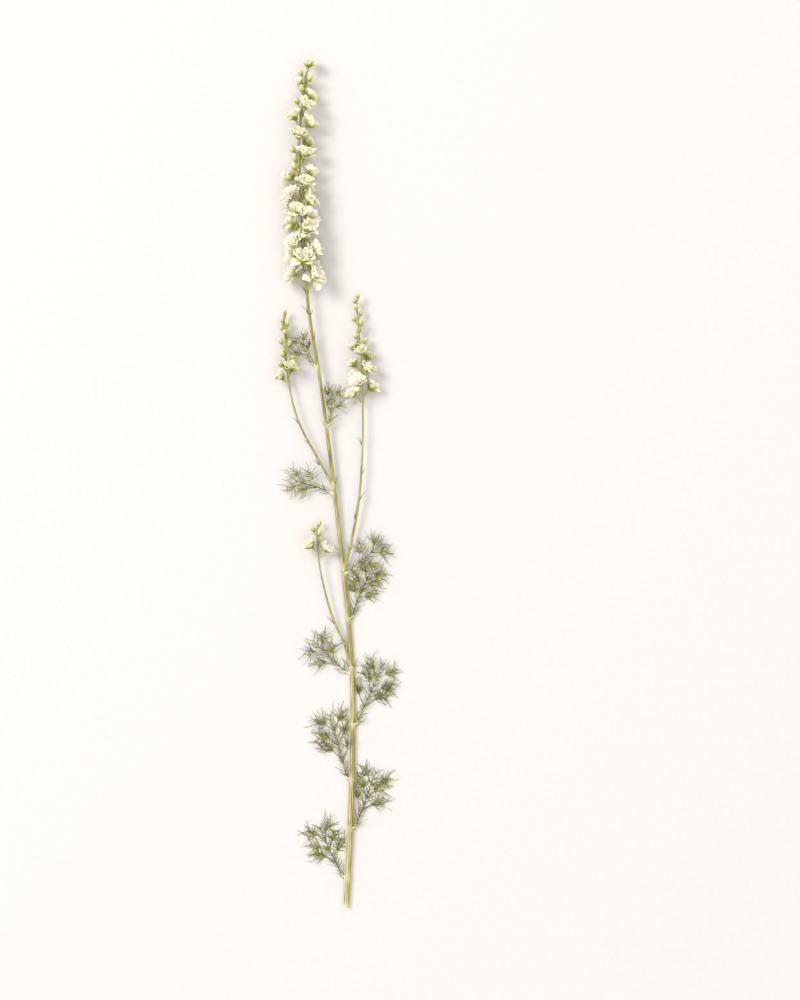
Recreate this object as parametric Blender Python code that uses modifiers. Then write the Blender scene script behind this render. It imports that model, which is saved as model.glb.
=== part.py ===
"""Dried white larkspur, the annual delphinium: one cut flowering stem lying on a flat surface.

+Y runs along the stem from its cut end to the tip of the spike, +Z is up, and the surface is z = 0.
Design values are in millimetres and degrees, and to_metres turns them into Blender's metres.
"""
import math
import random

import bmesh
import bpy
from mathutils import Matrix, Vector

MM = 0.001
UP = Vector((0, 0, 1))
GOLDEN_ANGLE = 137.508

# The stem and its side shoots. Each route is a list of points on the axis, from root to tip.
FRAME_CENTRE = (3.41, 5.5)
STEM_ROUTE = [
    (11.6, -322, 1.95), (15.4, -246, 2.2), (16.9, -169, 1.5), (13.9, -108, 1.9), (7.7, -46, 3.4),
    (0.8, 15, 5.4), (-7.7, 80, 7.6), (-15.4, 127, 9.2), (-20.8, 177, 10.6), (-23.1, 223, 11.2),
    (-23.9, 269, 11.2), (-20.8, 304, 10.8), (-18.2, 321, 10.6),
]
SHOOT_ROUTES = {
    "low_left": [(15.8, -138, 2.2), (10.5, -120, 3.8), (0, -95, 6.0), (-8, -62, 7.4), (-11, -30, 7.6)],
    "right": [(9.7, -63, 3.2), (16, -40, 5.2), (22, -5, 6.8), (24.5, 35, 7.2), (24.5, 75, 7.4),
              (22.5, 112, 7.6), (19.5, 146, 7.2)],
    "left": [(2.4, 1, 5.0), (-9, 22, 7.0), (-23, 48, 8.0), (-30.5, 72, 7.6), (-34, 100, 7.0),
             (-36, 134, 6.6)],
}
STEM_ROOT_RADIUS = 2.15
STEM_TIP_RADIUS = 0.7
STEM_RING_SPACING = 22
SHOOT_ROOT_RADIUS = 1.05
SHOOT_TIP_RADIUS = 0.5
SHOOT_RING_SPACING = 14

# The joints, where the leaves grow. Each is a short swelling of the stem.
JOINT_STATIONS = [22, 60, 98, 140, 184, 222, 262, 326, 372, 418]
JOINT_SWELLING = 1.25
JOINT_HALF_LENGTH = 3.2

# The flowers. A spray is one axis with a flower at each rank, and a list of the ranks that stay buds.
# Pairs of values run from the lowest rank to the highest, and from_tip is a distance along the axis.
SPRAYS = [
    {"name": "floret", "axis": "stem", "ranks": 36, "buds": (19, 22, 25, 28, 30, 32, 34, 35),
     "from_tip": (168, 8), "first": 32, "reach": (5.2, 3.4), "climb": (6.5, 4.0), "facing": (54, 34),
     "size": (9.8, 7.2), "bud_size": (6.4, 5.2), "openness": (0.9, 0.3), "seed": 33},
    {"name": "right_floret", "axis": "right", "ranks": 18, "buds": range(9, 18),
     "from_tip": (80, 2), "first": 200, "reach": (4.8, 1.6), "climb": (5.0, 2.4), "facing": (52, 14),
     "size": (7.4, 5.2), "bud_size": (6.0, 4.2), "openness": (0.7, 0.0), "seed": 21},
    {"name": "left_floret", "axis": "left", "ranks": 16, "buds": range(3, 16),
     "from_tip": (54, 1), "first": 150, "reach": (4.2, 1.2), "climb": (4.4, 2.0), "facing": (44, 12),
     "size": (6.6, 5.0), "bud_size": (5.8, 3.8), "openness": (0.45, 0.0), "seed": 31},
    {"name": "low_floret", "axis": "low_left", "ranks": 6, "buds": range(2, 6),
     "from_tip": (24, 1), "first": 10, "reach": (4.4, 1.8), "climb": (4.2, 2.0), "facing": (46, 16),
     "size": (6.8, 5.4), "bud_size": (5.4, 4.4), "openness": (0.6, 0.2), "seed": 41},
]
TIP_FLORET = {"azimuth": 0, "reach": 0.1, "climb": 1.5, "facing": 6, "size": 7.6, "openness": 0.4}
PRESSED_ABOVE = 0.85
PRESSED_BELOW = 0.55
CLOSED_REACH = 0.8
PEDICEL_RADIUS = 0.5
PEDICEL_BEND = (0.56, 0.36)
SEAT_GAP = 0.3
SPUR_HEIGHT = 0.4
SPUR_RADII = (0.55, 0.4)
SPUR_LENGTH = 2.4
SPUR_HEADING = (0.85, -0.5)
BUD_SLENDERNESS = 0.56

# How far a flower strays from the rule, in millimetres, degrees, degrees and share of full openness.
STATION_PLAY = 0.6
AZIMUTH_PLAY = 7
FACING_PLAY = 6
OPENNESS_PLAY = 0.22

# The petals. A funnel is the height of its point, the radius of its rim and the height of its rim.
# Lengths and widths are shares of the floret's size. In the pairs, the first value is for a closed
# floret and the second is what full openness adds.
PETAL_THICKNESS = 0.62
PETAL_MIDDLE = 0.55
TIP_COLUMNS = (-0.8, 0.8)
PETAL_SLIT = 0.12
OUTER_RING = {
    "count": 5, "funnel": (0.0, 1.5, 1.7), "length": 1.0, "width": 1.0, "lean": (30, 24),
    "curl": (-34, 40), "cup": (0.4, -0.2), "columns": (-1, 0, 1),
}
INNER_RING = {
    "count": 3, "funnel": (0.55, 0.6, 2.9), "length": 0.66, "width": 0.6, "lean": (4, 22),
    "curl": (-3, 12), "cup": (0.25, 0.0), "columns": (-0.9, 0.9),
}
POINTED_SHARE = 0.25
PETAL_REST_HEIGHT = 0.36
PRESS_SOFTNESS = 0.5

# The cut leaves: a thin blade slit to its ribs, so that only narrow threads are left of it.
LEAF_PLACES = [
    # station on the stem, side (-1 left, 1 right), length, lean out from the stem in degrees, seed
    (22, -1, 40, 22, 520), (60, 1, 44, 20, 502), (98, -1, 48, 22, 503), (140, 1, 48, 20, 504),
    (180, -1, 36, 52, 505), (222, 1, 38.5, 20, 626), (257, 1, 34, 54, 507), (320, -1, 32, 60, 508),
    (372, 1, 26, 16, 509), (418, -1, 24, 16, 702),
]
LEAF_THICKNESS = 0.8
LEAF_CLEARANCE = 1.4
LEAF_ROOT_GAP = 0.85
RIB_WIDTH = 1.2
THREAD_WIDTH = 1.1

# Forks are shares of a rib's length. A side rib's threads are the one next to the next side rib, which
# is short and lifted clear of it, and the one away from it. Swings are in degrees.
SHORT_LEAF = 38
LONG_FORKS = (0.3, 0.52, 0.74)
SHORT_FORKS = (0.34, 0.66)
SIDE_FORKS = (0.42,)
SIDE_RIB_SHARE = 0.5
FORK_SHORTENING = 0.45
SIDE_SWING = (32, 42)
INNER_THREAD = {"swing": (20, 26), "lift": (0.1, 0.4), "reach": (0.36, 0.44)}
OUTER_THREAD = {"swing": (26, 38), "lift": (-0.3, 0.1), "reach": (0.5, 0.65)}

COLOURS = {
    "stem": (0.62, 0.58, 0.24),
    "leaf": (0.24, 0.24, 0.07),
    "floret": (0.90, 0.87, 0.72),
}


def to_metres(points):
    """Design points in millimetres, moved so that the object's box is centred on the origin."""
    shift = Vector((FRAME_CENTRE[0], FRAME_CENTRE[1], 0))
    return [(Vector(p) - shift) * MM for p in points]


class Route:
    """A smooth line through a few points, read by the distance along it."""

    STEPS = 8

    def __init__(self, corners):
        corners = [Vector(c) for c in corners]
        ends = [2 * corners[0] - corners[1], *corners, 2 * corners[-1] - corners[-2]]
        self.points = [corners[0]]
        for before, a, b, after in zip(ends, ends[1:], ends[2:], ends[3:]):
            for step in range(1, self.STEPS + 1):
                t = step / self.STEPS
                self.points.append(0.5 * (
                    2 * a + (b - before) * t
                    + (2 * before - 5 * a + 4 * b - after) * t * t
                    + (3 * a - before - 3 * b + after) * t ** 3
                ))
        self.stations = [0.0]
        for a, b in zip(self.points, self.points[1:]):
            self.stations.append(self.stations[-1] + (b - a).length)
        self.length = self.stations[-1]

    def at(self, station):
        station = min(max(station, 0.0), self.length)
        for i in range(1, len(self.stations)):
            if station <= self.stations[i]:
                span = self.stations[i] - self.stations[i - 1]
                share = (station - self.stations[i - 1]) / span
                return self.points[i - 1].lerp(self.points[i], share)
        return self.points[-1].copy()

    def frame(self, station):
        """The point, the direction along the axis, and the directions to its right and above it."""
        along = (self.at(station + 1.5) - self.at(station - 1.5)).normalized()
        right = along.cross(UP).normalized()
        return self.at(station), along, right, right.cross(along)


def turned(direction, degrees):
    """A direction swung to the left by so many degrees, seen from above."""
    return Matrix.Rotation(math.radians(degrees), 3, UP) @ direction


def link(obj, collection):
    collection.objects.link(obj)
    return obj


def mesh_object(name, bm, collection):
    mesh = bpy.data.meshes.new(name)
    bm.to_mesh(mesh)
    bm.free()
    return link(bpy.data.objects.new(name, mesh), collection)


def tube(name, points, radii, collection, resolution=0):
    """A round stalk along points. It is a bevelled curve, made a closed mesh so that it can be joined."""
    curve = bpy.data.curves.new(name, "CURVE")
    curve.dimensions = "3D"
    curve.bevel_depth = MM
    curve.bevel_resolution = resolution
    curve.use_fill_caps = True
    spline = curve.splines.new("POLY")
    spline.points.add(len(points) - 1)
    for target, point, radius in zip(spline.points, to_metres(points), radii):
        target.co = (*point, 1)
        target.radius = radius
    source = link(bpy.data.objects.new(name, curve), collection)
    bpy.context.view_layer.update()
    graph = bpy.context.evaluated_depsgraph_get()
    mesh = bpy.data.meshes.new_from_object(source.evaluated_get(graph))
    bpy.data.objects.remove(source)
    bm = bmesh.new()
    bm.from_mesh(mesh)
    bpy.data.meshes.remove(mesh)
    bmesh.ops.remove_doubles(bm, verts=bm.verts, dist=0.01 * MM)
    return mesh_object(name, bm, collection)


def placed(bm, verts, start, direction):
    """Moves a shape made along +Z at the origin so that it starts at start and runs in direction."""
    turn = direction.to_track_quat("Z", "Y").to_matrix().to_4x4()
    bmesh.ops.transform(bm, matrix=Matrix.Translation(to_metres([start])[0]) @ turn, verts=verts)


def cone(name, start, end, radius, end_radius, collection, sides):
    """A straight tapered stalk with flat ends."""
    bm = bmesh.new()
    length = (end - start).length
    made = bmesh.ops.create_cone(
        bm, cap_ends=True, segments=sides, radius1=radius * MM, radius2=end_radius * MM, depth=length * MM
    )["verts"]
    bmesh.ops.translate(bm, vec=(0, 0, length / 2 * MM), verts=made)
    placed(bm, made, start, end - start)
    return mesh_object(name, bm, collection)


def egg(name, centre, radii, direction, collection, sides=5, rings=3):
    """A closed egg shape, as a bud has, with its long axis in direction."""
    bm = bmesh.new()
    made = bmesh.ops.create_uvsphere(bm, u_segments=sides, v_segments=rings, radius=MM)["verts"]
    bmesh.ops.scale(bm, vec=radii, verts=made)
    placed(bm, made, centre, direction)
    return mesh_object(name, bm, collection)


def keep_largest(mesh):
    """Drops loose scraps, and fills any hollow that joining sealed, by keeping the largest surface."""
    bm = bmesh.new()
    bm.from_mesh(mesh)
    unseen = set(bm.verts)
    islands = []
    while unseen:
        island = {unseen.pop()}
        edge_of_island = set(island)
        while edge_of_island:
            vert = edge_of_island.pop()
            fresh = {edge.other_vert(vert) for edge in vert.link_edges} - island
            island |= fresh
            edge_of_island |= fresh
        unseen -= island
        islands.append(island)
    largest = max(islands, key=len)
    bmesh.ops.delete(bm, geom=[v for v in bm.verts if v not in largest], context="VERTS")
    bm.to_mesh(mesh)
    bm.free()


def joined(base, parts):
    """One body: base united with every object of the collection parts, which is then emptied."""
    union = base.modifiers.new("join", "BOOLEAN")
    union.operation = "UNION"
    union.operand_type = "COLLECTION"
    union.collection = parts
    union.solver = "MANIFOLD"
    bpy.context.view_layer.update()
    graph = bpy.context.evaluated_depsgraph_get()
    base.data = bpy.data.meshes.new_from_object(base.evaluated_get(graph))
    base.modifiers.clear()
    keep_largest(base.data)
    for obj in list(parts.objects):
        bpy.data.objects.remove(obj)
    return base


def trimmed(obj, surface):
    """Cuts off what would reach through the surface, which leaves a flat spot to rest on."""
    cut = obj.modifiers.new("rest", "BOOLEAN")
    cut.operation = "DIFFERENCE"
    cut.object = surface
    return obj


def finished(obj, colour):
    """Gives a joined body its material."""
    material = bpy.data.materials.get(colour) or bpy.data.materials.new(colour)
    material.use_nodes = True
    shader = material.node_tree.nodes["Principled BSDF"]
    shader.inputs["Base Color"].default_value = (*COLOURS[colour], 1)
    shader.inputs["Roughness"].default_value = 0.8
    shader.inputs["Metallic"].default_value = 0.0
    obj.data.materials.clear()
    obj.data.materials.append(material)
    return obj


def stem_radius(station, length):
    """The stem tapers evenly, and swells at each joint."""
    plain = STEM_ROOT_RADIUS + (STEM_TIP_RADIUS - STEM_ROOT_RADIUS) * station / length
    nearest = min(abs(station - joint) for joint in JOINT_STATIONS)
    return plain * (JOINT_SWELLING if nearest < 0.1 else 1)


def stem_tube(stem, collection):
    """The main stem: evenly spaced rings, and three close ones at each joint."""
    count = round(stem.length / STEM_RING_SPACING)
    stations = [stem.length * i / count for i in range(count + 1)]
    clear = JOINT_HALF_LENGTH * 2
    stations = [s for s in stations if all(abs(s - joint) > clear for joint in JOINT_STATIONS)]
    for joint in JOINT_STATIONS:
        stations += [joint - JOINT_HALF_LENGTH, joint, joint + JOINT_HALF_LENGTH]
    stations.sort()
    radii = [stem_radius(s, stem.length) for s in stations]
    return tube("stem", [stem.at(s) for s in stations], radii, collection, resolution=2)


def shoot_tube(name, route, collection):
    count = max(4, round(route.length / SHOOT_RING_SPACING))
    shares = [i / count for i in range(count + 1)]
    points = [route.at(share * route.length) for share in shares]
    radii = [SHOOT_ROOT_RADIUS + (SHOOT_TIP_RADIUS - SHOOT_ROOT_RADIUS) * share for share in shares]
    return tube(name, points, radii, collection, resolution=1)


class Flower:
    """A floret or a bud: where its stalk leaves the axis, where the stalk ends, and how it faces."""

    def __init__(self, route, station, azimuth, reach, climb, facing, size, openness, seed):
        here, along, right, above = route.frame(station)
        rise = math.sin(azimuth)
        outward = right * math.cos(azimuth) + above * rise * (PRESSED_ABOVE if rise > 0 else PRESSED_BELOW)
        tilt = math.radians(facing)
        self.root = here
        self.bend = here + outward * reach * PEDICEL_BEND[0] + along * climb * PEDICEL_BEND[1]
        self.base = here + outward * reach + along * climb
        self.facing = (along * math.cos(tilt) + outward * math.sin(tilt)).normalized()
        self.spur = (along * SPUR_HEADING[0] + outward * SPUR_HEADING[1]).normalized()
        self.size = size
        self.openness = openness
        self.seed = seed

    def seat(self):
        """The point of the floret's funnel, just clear of the end of its stalk."""
        return self.base + self.facing * (SEAT_GAP + PETAL_THICKNESS / 2)


def flowers_of(spray, route):
    """The florets and the buds of a spray, each turned by the golden angle from the one below it."""
    draw = random.Random(spray["seed"])
    florets = []
    buds = []
    for rank in range(spray["ranks"]):
        def between(key):
            low, high = spray[key]
            return low + (high - low) * rank / (spray["ranks"] - 1)

        closed = rank in spray["buds"]
        flower = Flower(
            route,
            route.length - between("from_tip") + draw.uniform(-STATION_PLAY, STATION_PLAY),
            math.radians(spray["first"] + rank * GOLDEN_ANGLE + draw.uniform(-AZIMUTH_PLAY, AZIMUTH_PLAY)),
            between("reach") * draw.uniform(0.94, 1.08) * (CLOSED_REACH if closed else 1),
            between("climb") * draw.uniform(0.9, 1.1),
            between("facing") + draw.uniform(-FACING_PLAY, FACING_PLAY),
            between("bud_size" if closed else "size") * draw.uniform(0.93, 1.05),
            min(1.0, max(0.0, between("openness") + draw.uniform(-OPENNESS_PLAY, OPENNESS_PLAY))),
            spray["seed"] * 100 + rank,
        )
        (buds if closed else florets).append(flower)
    if spray["axis"] == "stem":
        florets.append(Flower(route, route.length, **TIP_FLORET, seed=spray["seed"]))
    return florets, buds


def add_pedicel(flower, parts):
    """The curved stalk of a floret, which is part of the stem."""
    points = [flower.root, flower.bend, flower.base]
    tube("pedicel", points, [PEDICEL_RADIUS, PEDICEL_RADIUS, PEDICEL_RADIUS * 1.3], parts)


def add_bud(flower, parts):
    """An egg-shaped bud on its own stalk."""
    cone("stalk", flower.root, flower.base + flower.facing * 0.4, PEDICEL_RADIUS, PEDICEL_RADIUS, parts, 3)
    half = flower.size / 2
    width = half * BUD_SLENDERNESS
    egg("bud", flower.base + flower.facing * half * 0.9, (width, width, half), flower.facing, parts)


def build_stem(routes, florets, buds, surface, parts, collection):
    """The stem with its side shoots, joints, flower stalks and unopened buds, all one grown body."""
    body = stem_tube(routes["stem"], collection)
    for name in SHOOT_ROUTES:
        shoot_tube(name, routes[name], parts)
    for floret in florets:
        add_pedicel(floret, parts)
    for bud in buds:
        add_bud(bud, parts)
    return finished(trimmed(joined(body, parts), surface), "stem")


def petal_outline(v):
    """Share of a petal's half width at v, from its narrow claw to its blunt tip."""
    if v < 0.6:
        return 0.30 + 0.70 * math.sin(v / 0.6 * math.pi / 2)
    return 1 - 0.28 * ((v - 0.6) / 0.4) ** 2


def petal_point(ring, petal, u, v):
    """A point of a petal's middle surface: u runs from -1 to 1 across it, v from its claw to its tip."""
    reach = petal["length"] * v
    lean = math.radians(petal["lean"] + petal["curl"] * v / 2)
    slope = math.radians(petal["lean"] + petal["curl"] * v)
    half = petal["width"] / 2 * petal_outline(v)
    inward = petal["cup"] * half * u * u + petal["ruffle"] * v * v * math.sin(2.4 * u + petal["phase"])
    outward = ring["rim_radius"] + reach * math.sin(lean) - inward * math.cos(slope)
    room = (outward - PETAL_THICKNESS / 2) * math.tan(math.pi / ring["count"]) - PETAL_SLIT
    room = max(room, PETAL_SLIT)
    sideways = min(max(half * u, -room), room)
    up = ring["rim_height"] + reach * math.cos(lean) + inward * math.sin(slope)
    return Matrix.Rotation(petal["azimuth"], 3, "Z") @ Vector((outward, sideways, up))


def make_ring(draw, flower, shape, first):
    """Petals that grow from the rim of one funnel, each a little different in length, lean and twist."""
    lean, curl, cup = (shut + opened * flower.openness for shut, opened in (
        shape["lean"], shape["curl"], shape["cup"]
    ))
    length = flower.size * shape["length"]
    width = flower.size * shape["width"]
    petals = []
    for i in range(shape["count"]):
        petals.append({
            "azimuth": math.radians(first + 360 * i / shape["count"]),
            "length": length * draw.uniform(0.9, 1.1),
            "width": width * draw.uniform(0.92, 1.06),
            "lean": lean + draw.uniform(-6, 6),
            "curl": curl + draw.uniform(-12, 12),
            "cup": cup * draw.uniform(0.7, 1.2),
            "ruffle": length * draw.uniform(0.03, 0.09),
            "phase": draw.uniform(0, math.tau),
            "pointed": draw.random() < POINTED_SHARE,
        })
    point_height, rim_radius, rim_height = shape["funnel"]
    return {
        "count": shape["count"], "columns": shape["columns"], "point_height": point_height,
        "rim_radius": rim_radius, "rim_height": rim_height, "petals": petals,
    }


def rings_of(flower):
    """The outer ring of five sepals, and the smaller petals that stand inside it."""
    draw = random.Random(flower.seed)
    first = draw.uniform(0, 72)
    outer = make_ring(draw, flower, OUTER_RING, first)
    inner = make_ring(draw, flower, INNER_RING, first + 36)
    return outer, inner


def pressed(point):
    """Where a petal would reach through the surface, it lies flat on it."""
    over = (point.z - PETAL_REST_HEIGHT) / PRESS_SOFTNESS
    height = PRESS_SOFTNESS * math.log1p(math.exp(over)) if over < 30 else over * PRESS_SOFTNESS
    return Vector((point.x, point.y, PETAL_REST_HEIGHT + height))


def fill_between(bm, low, high):
    """Triangles between two rows of points, which may have unlike counts."""
    i = j = 0
    while i < len(low) - 1 or j < len(high) - 1:
        if (i + 1) * (len(high) - 1) <= (j + 1) * (len(low) - 1) and i < len(low) - 1:
            bm.faces.new((low[i], low[i + 1], high[j]))
            i += 1
        else:
            bm.faces.new((low[i], high[j + 1], high[j]))
            j += 1


def petal_ring(name, flower, ring, collection):
    """A funnel whose rim runs out into petals, as one thin sheet with a slit between each two petals."""
    bm = bmesh.new()
    turn = flower.facing.to_track_quat("Z", "Y").to_matrix()
    seat = flower.seat()

    def vertex(local):
        return bm.verts.new(to_metres([pressed(seat + turn @ local)])[0])

    half_step = math.pi / ring["count"]
    claws = []
    for petal in ring["petals"]:
        local = Vector((ring["rim_radius"] / math.cos(half_step), 0, ring["rim_height"]))
        claws.append(vertex(Matrix.Rotation(petal["azimuth"] - half_step, 3, "Z") @ local))
    point = vertex(Vector((0, 0, ring["point_height"])))
    for i, petal in enumerate(ring["petals"]):
        claw = [claws[i], claws[(i + 1) % ring["count"]]]
        fill_between(bm, [point], claw)
        middle = [vertex(petal_point(ring, petal, u, PETAL_MIDDLE)) for u in ring["columns"]]
        tip = [vertex(petal_point(ring, petal, u, 1)) for u in ((0,) if petal["pointed"] else TIP_COLUMNS)]
        fill_between(bm, claw, middle)
        fill_between(bm, middle, tip)
    bmesh.ops.recalc_face_normals(bm, faces=bm.faces)
    sheet = mesh_object(name, bm, collection)
    wall = sheet.modifiers.new("wall", "SOLIDIFY")
    wall.thickness = PETAL_THICKNESS * MM
    wall.offset = 0
    return sheet


def build_floret(name, flower, parts, collection):
    """A floret: two rings of petals, one inside the other, and the spur behind them."""
    outer, inner = rings_of(flower)
    body = petal_ring(name, flower, outer, collection)
    petal_ring("inner_petals", flower, inner, parts)
    spur_root = flower.seat() + flower.facing * SPUR_HEIGHT
    spur_tip = spur_root + flower.spur * SPUR_LENGTH * (1 + flower.openness)
    cone("spur", spur_root, spur_tip, *SPUR_RADII, parts, 4)
    return finished(joined(body, parts), "floret")


class Leaf:
    """A finely cut leaf as one thin sheet: ribs that fork in threes, and end in narrow threads."""

    def __init__(self, stem, station, side, length, lean, seed):
        self.stem = stem
        self.side = side
        self.draw = random.Random(seed)
        self.bm = bmesh.new()
        here, along, right, _ = stem.frame(station)
        start = here + right * side * (stem_radius(station, stem.length) + LEAF_ROOT_GAP)
        heading = turned(along, -side * lean)
        across = heading.cross(UP).normalized() * RIB_WIDTH / 2
        base = self.vertex(start - across), self.vertex(start + across)
        forks = LONG_FORKS if length > SHORT_LEAF else SHORT_FORKS
        self.grow_rib(base, start, heading, length, RIB_WIDTH, forks, self.grow_side_rib)

    def vertex(self, point):
        return self.bm.verts.new(to_metres([point])[0])

    def clear(self, point):
        """Keeps a point on the leaf's own side of the stem and on or above the surface."""
        low, high = 0.0, self.stem.length
        for _ in range(20):
            middle = (low + high) / 2
            if self.stem.at(middle).y < point.y:
                low = middle
            else:
                high = middle
        edge = self.stem.at(low).x + self.side * (stem_radius(low, self.stem.length) + LEAF_CLEARANCE)
        pushed = max(self.side * (edge - point.x), 0)
        height = max(point.z, LEAF_THICKNESS * 0.55) + pushed * 0.7
        return Vector((point.x + self.side * pushed, point.y, height))

    def grow_rib(self, base, start, heading, length, width, forks, grow_branch):
        """A rib with a pair of branches at each fork."""
        place = start
        reached = 0
        for fork in forks:
            heading = turned(heading, self.draw.uniform(-7, 7)) + UP * self.draw.uniform(-0.06, 0.03)
            heading.normalize()
            across = heading.cross(UP).normalized() * width / 2
            place = self.clear(place + heading * length * (fork - reached))
            low = self.vertex(place - across), self.vertex(place + across)
            place = self.clear(place + heading * THREAD_WIDTH)
            high = self.vertex(place - across), self.vertex(place + across)
            self.bm.faces.new((*base, low[1], low[0]))
            self.bm.faces.new((*low, high[1], high[0]))
            for edge, side in (((low[0], high[0]), 1), ((high[1], low[1]), -1)):
                reach = length * (1 - FORK_SHORTENING * fork)
                grow_branch(edge, place - across * side, heading, reach, side)
            base = high
            reached = fork
        tip = self.clear(place + heading * length * (1 - reached))
        self.bm.faces.new((*base, self.vertex(tip)))

    def grow_side_rib(self, base, start, heading, length, side):
        """A branch of the middle rib. Its inner thread is short and lies clear of the next branch."""
        heading = turned(heading, side * self.draw.uniform(*SIDE_SWING))

        def grow_thread(edge, root, along, reach, thread_side):
            thread = INNER_THREAD if thread_side != side else OUTER_THREAD
            swing = self.draw.uniform(*thread["swing"])
            lift = UP * self.draw.uniform(*thread["lift"])
            reach *= self.draw.uniform(*thread["reach"])
            tip = root + (turned(along, thread_side * swing) + lift).normalized() * reach
            self.bm.faces.new((*edge, self.vertex(self.clear(tip))))

        self.grow_rib(base, start, heading, length * SIDE_RIB_SHARE, THREAD_WIDTH, SIDE_FORKS, grow_thread)


def build_leaf(name, leaf, collection):
    bmesh.ops.triangulate(leaf.bm, faces=leaf.bm.faces)
    sheet = mesh_object(name, leaf.bm, collection)
    wall = sheet.modifiers.new("wall", "SOLIDIFY")
    wall.thickness = LEAF_THICKNESS * MM
    wall.offset = 0
    return finished(sheet, "leaf")


def make_surface(collection):
    """The surface that the stem lies on, as a cutter: a slab whose top is z = 0."""
    bm = bmesh.new()
    made = bmesh.ops.create_cube(bm, size=1)["verts"]
    bmesh.ops.scale(bm, vec=(0.4, 1.0, 0.02), verts=made)
    bmesh.ops.translate(bm, vec=(0, 0, -0.01), verts=made)
    slab = mesh_object("surface_cutter", bm, collection)
    slab.hide_render = True
    slab.display_type = "WIRE"
    return slab


def new_collection(name):
    made = bpy.data.collections.new(name)
    bpy.context.scene.collection.children.link(made)
    return made


def main():
    for obj in list(bpy.data.objects):
        bpy.data.objects.remove(obj)
    collection = new_collection("larkspur_stem")
    cutters = new_collection("cutters")
    parts = new_collection("pieces_to_join")
    surface = make_surface(cutters)

    routes = {"stem": Route(STEM_ROUTE)}
    for name, points in SHOOT_ROUTES.items():
        routes[name] = Route(points)
    sprays = {spray["name"]: flowers_of(spray, routes[spray["axis"]]) for spray in SPRAYS}
    florets = [flower for opened, _ in sprays.values() for flower in opened]
    buds = [flower for _, closed in sprays.values() for flower in closed]
    build_stem(routes, florets, buds, surface, parts, collection)
    for name, (opened, _) in sprays.items():
        for i, flower in enumerate(opened, 1):
            build_floret(f"{name}_{i:02d}", flower, parts, collection)
    for i, place in enumerate(LEAF_PLACES, 1):
        leaf = Leaf(routes["stem"], *place)
        build_leaf(f"leaf_{i:02d}", leaf, collection)


main()
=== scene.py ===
"""Dried white larkspur stem: the finished surfaces of the part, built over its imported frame.

Lengths are written in millimetres and angles in degrees, as a florist would give them, and turned into
Blender's units where a mesh or a node needs them. +Y runs along the stem from its cut end to the tip of
its spike, +Z is up, and the stem lies on z = 0.
"""

import math
import random

import bmesh
import bpy
from bpy.props import FloatProperty, FloatVectorProperty, IntProperty, PointerProperty
from mathutils import Matrix, Vector


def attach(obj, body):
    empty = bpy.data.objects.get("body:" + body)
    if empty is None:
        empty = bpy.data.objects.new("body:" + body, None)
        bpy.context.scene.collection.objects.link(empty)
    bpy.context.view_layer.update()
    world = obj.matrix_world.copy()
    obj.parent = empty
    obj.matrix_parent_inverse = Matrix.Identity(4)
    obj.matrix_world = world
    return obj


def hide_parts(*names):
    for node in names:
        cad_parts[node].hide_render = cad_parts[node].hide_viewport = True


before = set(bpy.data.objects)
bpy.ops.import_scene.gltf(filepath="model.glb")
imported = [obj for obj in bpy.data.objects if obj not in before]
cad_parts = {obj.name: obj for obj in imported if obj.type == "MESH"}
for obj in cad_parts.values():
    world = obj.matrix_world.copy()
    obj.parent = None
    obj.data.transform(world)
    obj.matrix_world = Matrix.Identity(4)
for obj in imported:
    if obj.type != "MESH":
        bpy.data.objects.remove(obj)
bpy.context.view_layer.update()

bl_info = {
    "name": "Dried larkspur stem",
    "version": (1, 0, 0),
    "blender": (4, 5, 0),
    "location": "3D View > Sidebar > Larkspur",
    "description": "Petals, buds, ribbed stems and cut leaves of one dried larkspur stem",
    "category": "Add Mesh",
}

MM = 0.001
UP = Vector((0, 0, 1))
GOLDEN_ANGLE = 137.508

# The plant's own plan, the same as the solids'. A route is a list of points from root to tip.
FRAME_CENTRE = (3.41, 5.5)
STEM_ROUTE = [
    (11.6, -322, 1.95), (15.4, -246, 2.2), (16.9, -169, 1.5), (13.9, -108, 1.9), (7.7, -46, 3.4),
    (0.8, 15, 5.4), (-7.7, 80, 7.6), (-15.4, 127, 9.2), (-20.8, 177, 10.6), (-23.1, 223, 11.2),
    (-23.9, 269, 11.2), (-20.8, 304, 10.8), (-18.2, 321, 10.6),
]
SHOOT_ROUTES = {
    "low_left": [(15.8, -138, 2.2), (10.5, -120, 3.8), (0, -95, 6.0), (-8, -62, 7.4), (-11, -30, 7.6)],
    "right": [(9.7, -63, 3.2), (16, -40, 5.2), (22, -5, 6.8), (24.5, 35, 7.2), (24.5, 75, 7.4),
              (22.5, 112, 7.6), (19.5, 146, 7.2)],
    "left": [(2.4, 1, 5.0), (-9, 22, 7.0), (-23, 48, 8.0), (-30.5, 72, 7.6), (-34, 100, 7.0),
             (-36, 134, 6.6)],
}
STEM_RADII = (2.15, 0.7)
SHOOT_RADII = (1.05, 0.5)
JOINT_STATIONS = [22, 60, 98, 140, 184, 222, 262, 326, 372, 418]
JOINT_SWELLING = 0.25
JOINT_LENGTH = 3.2

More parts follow.
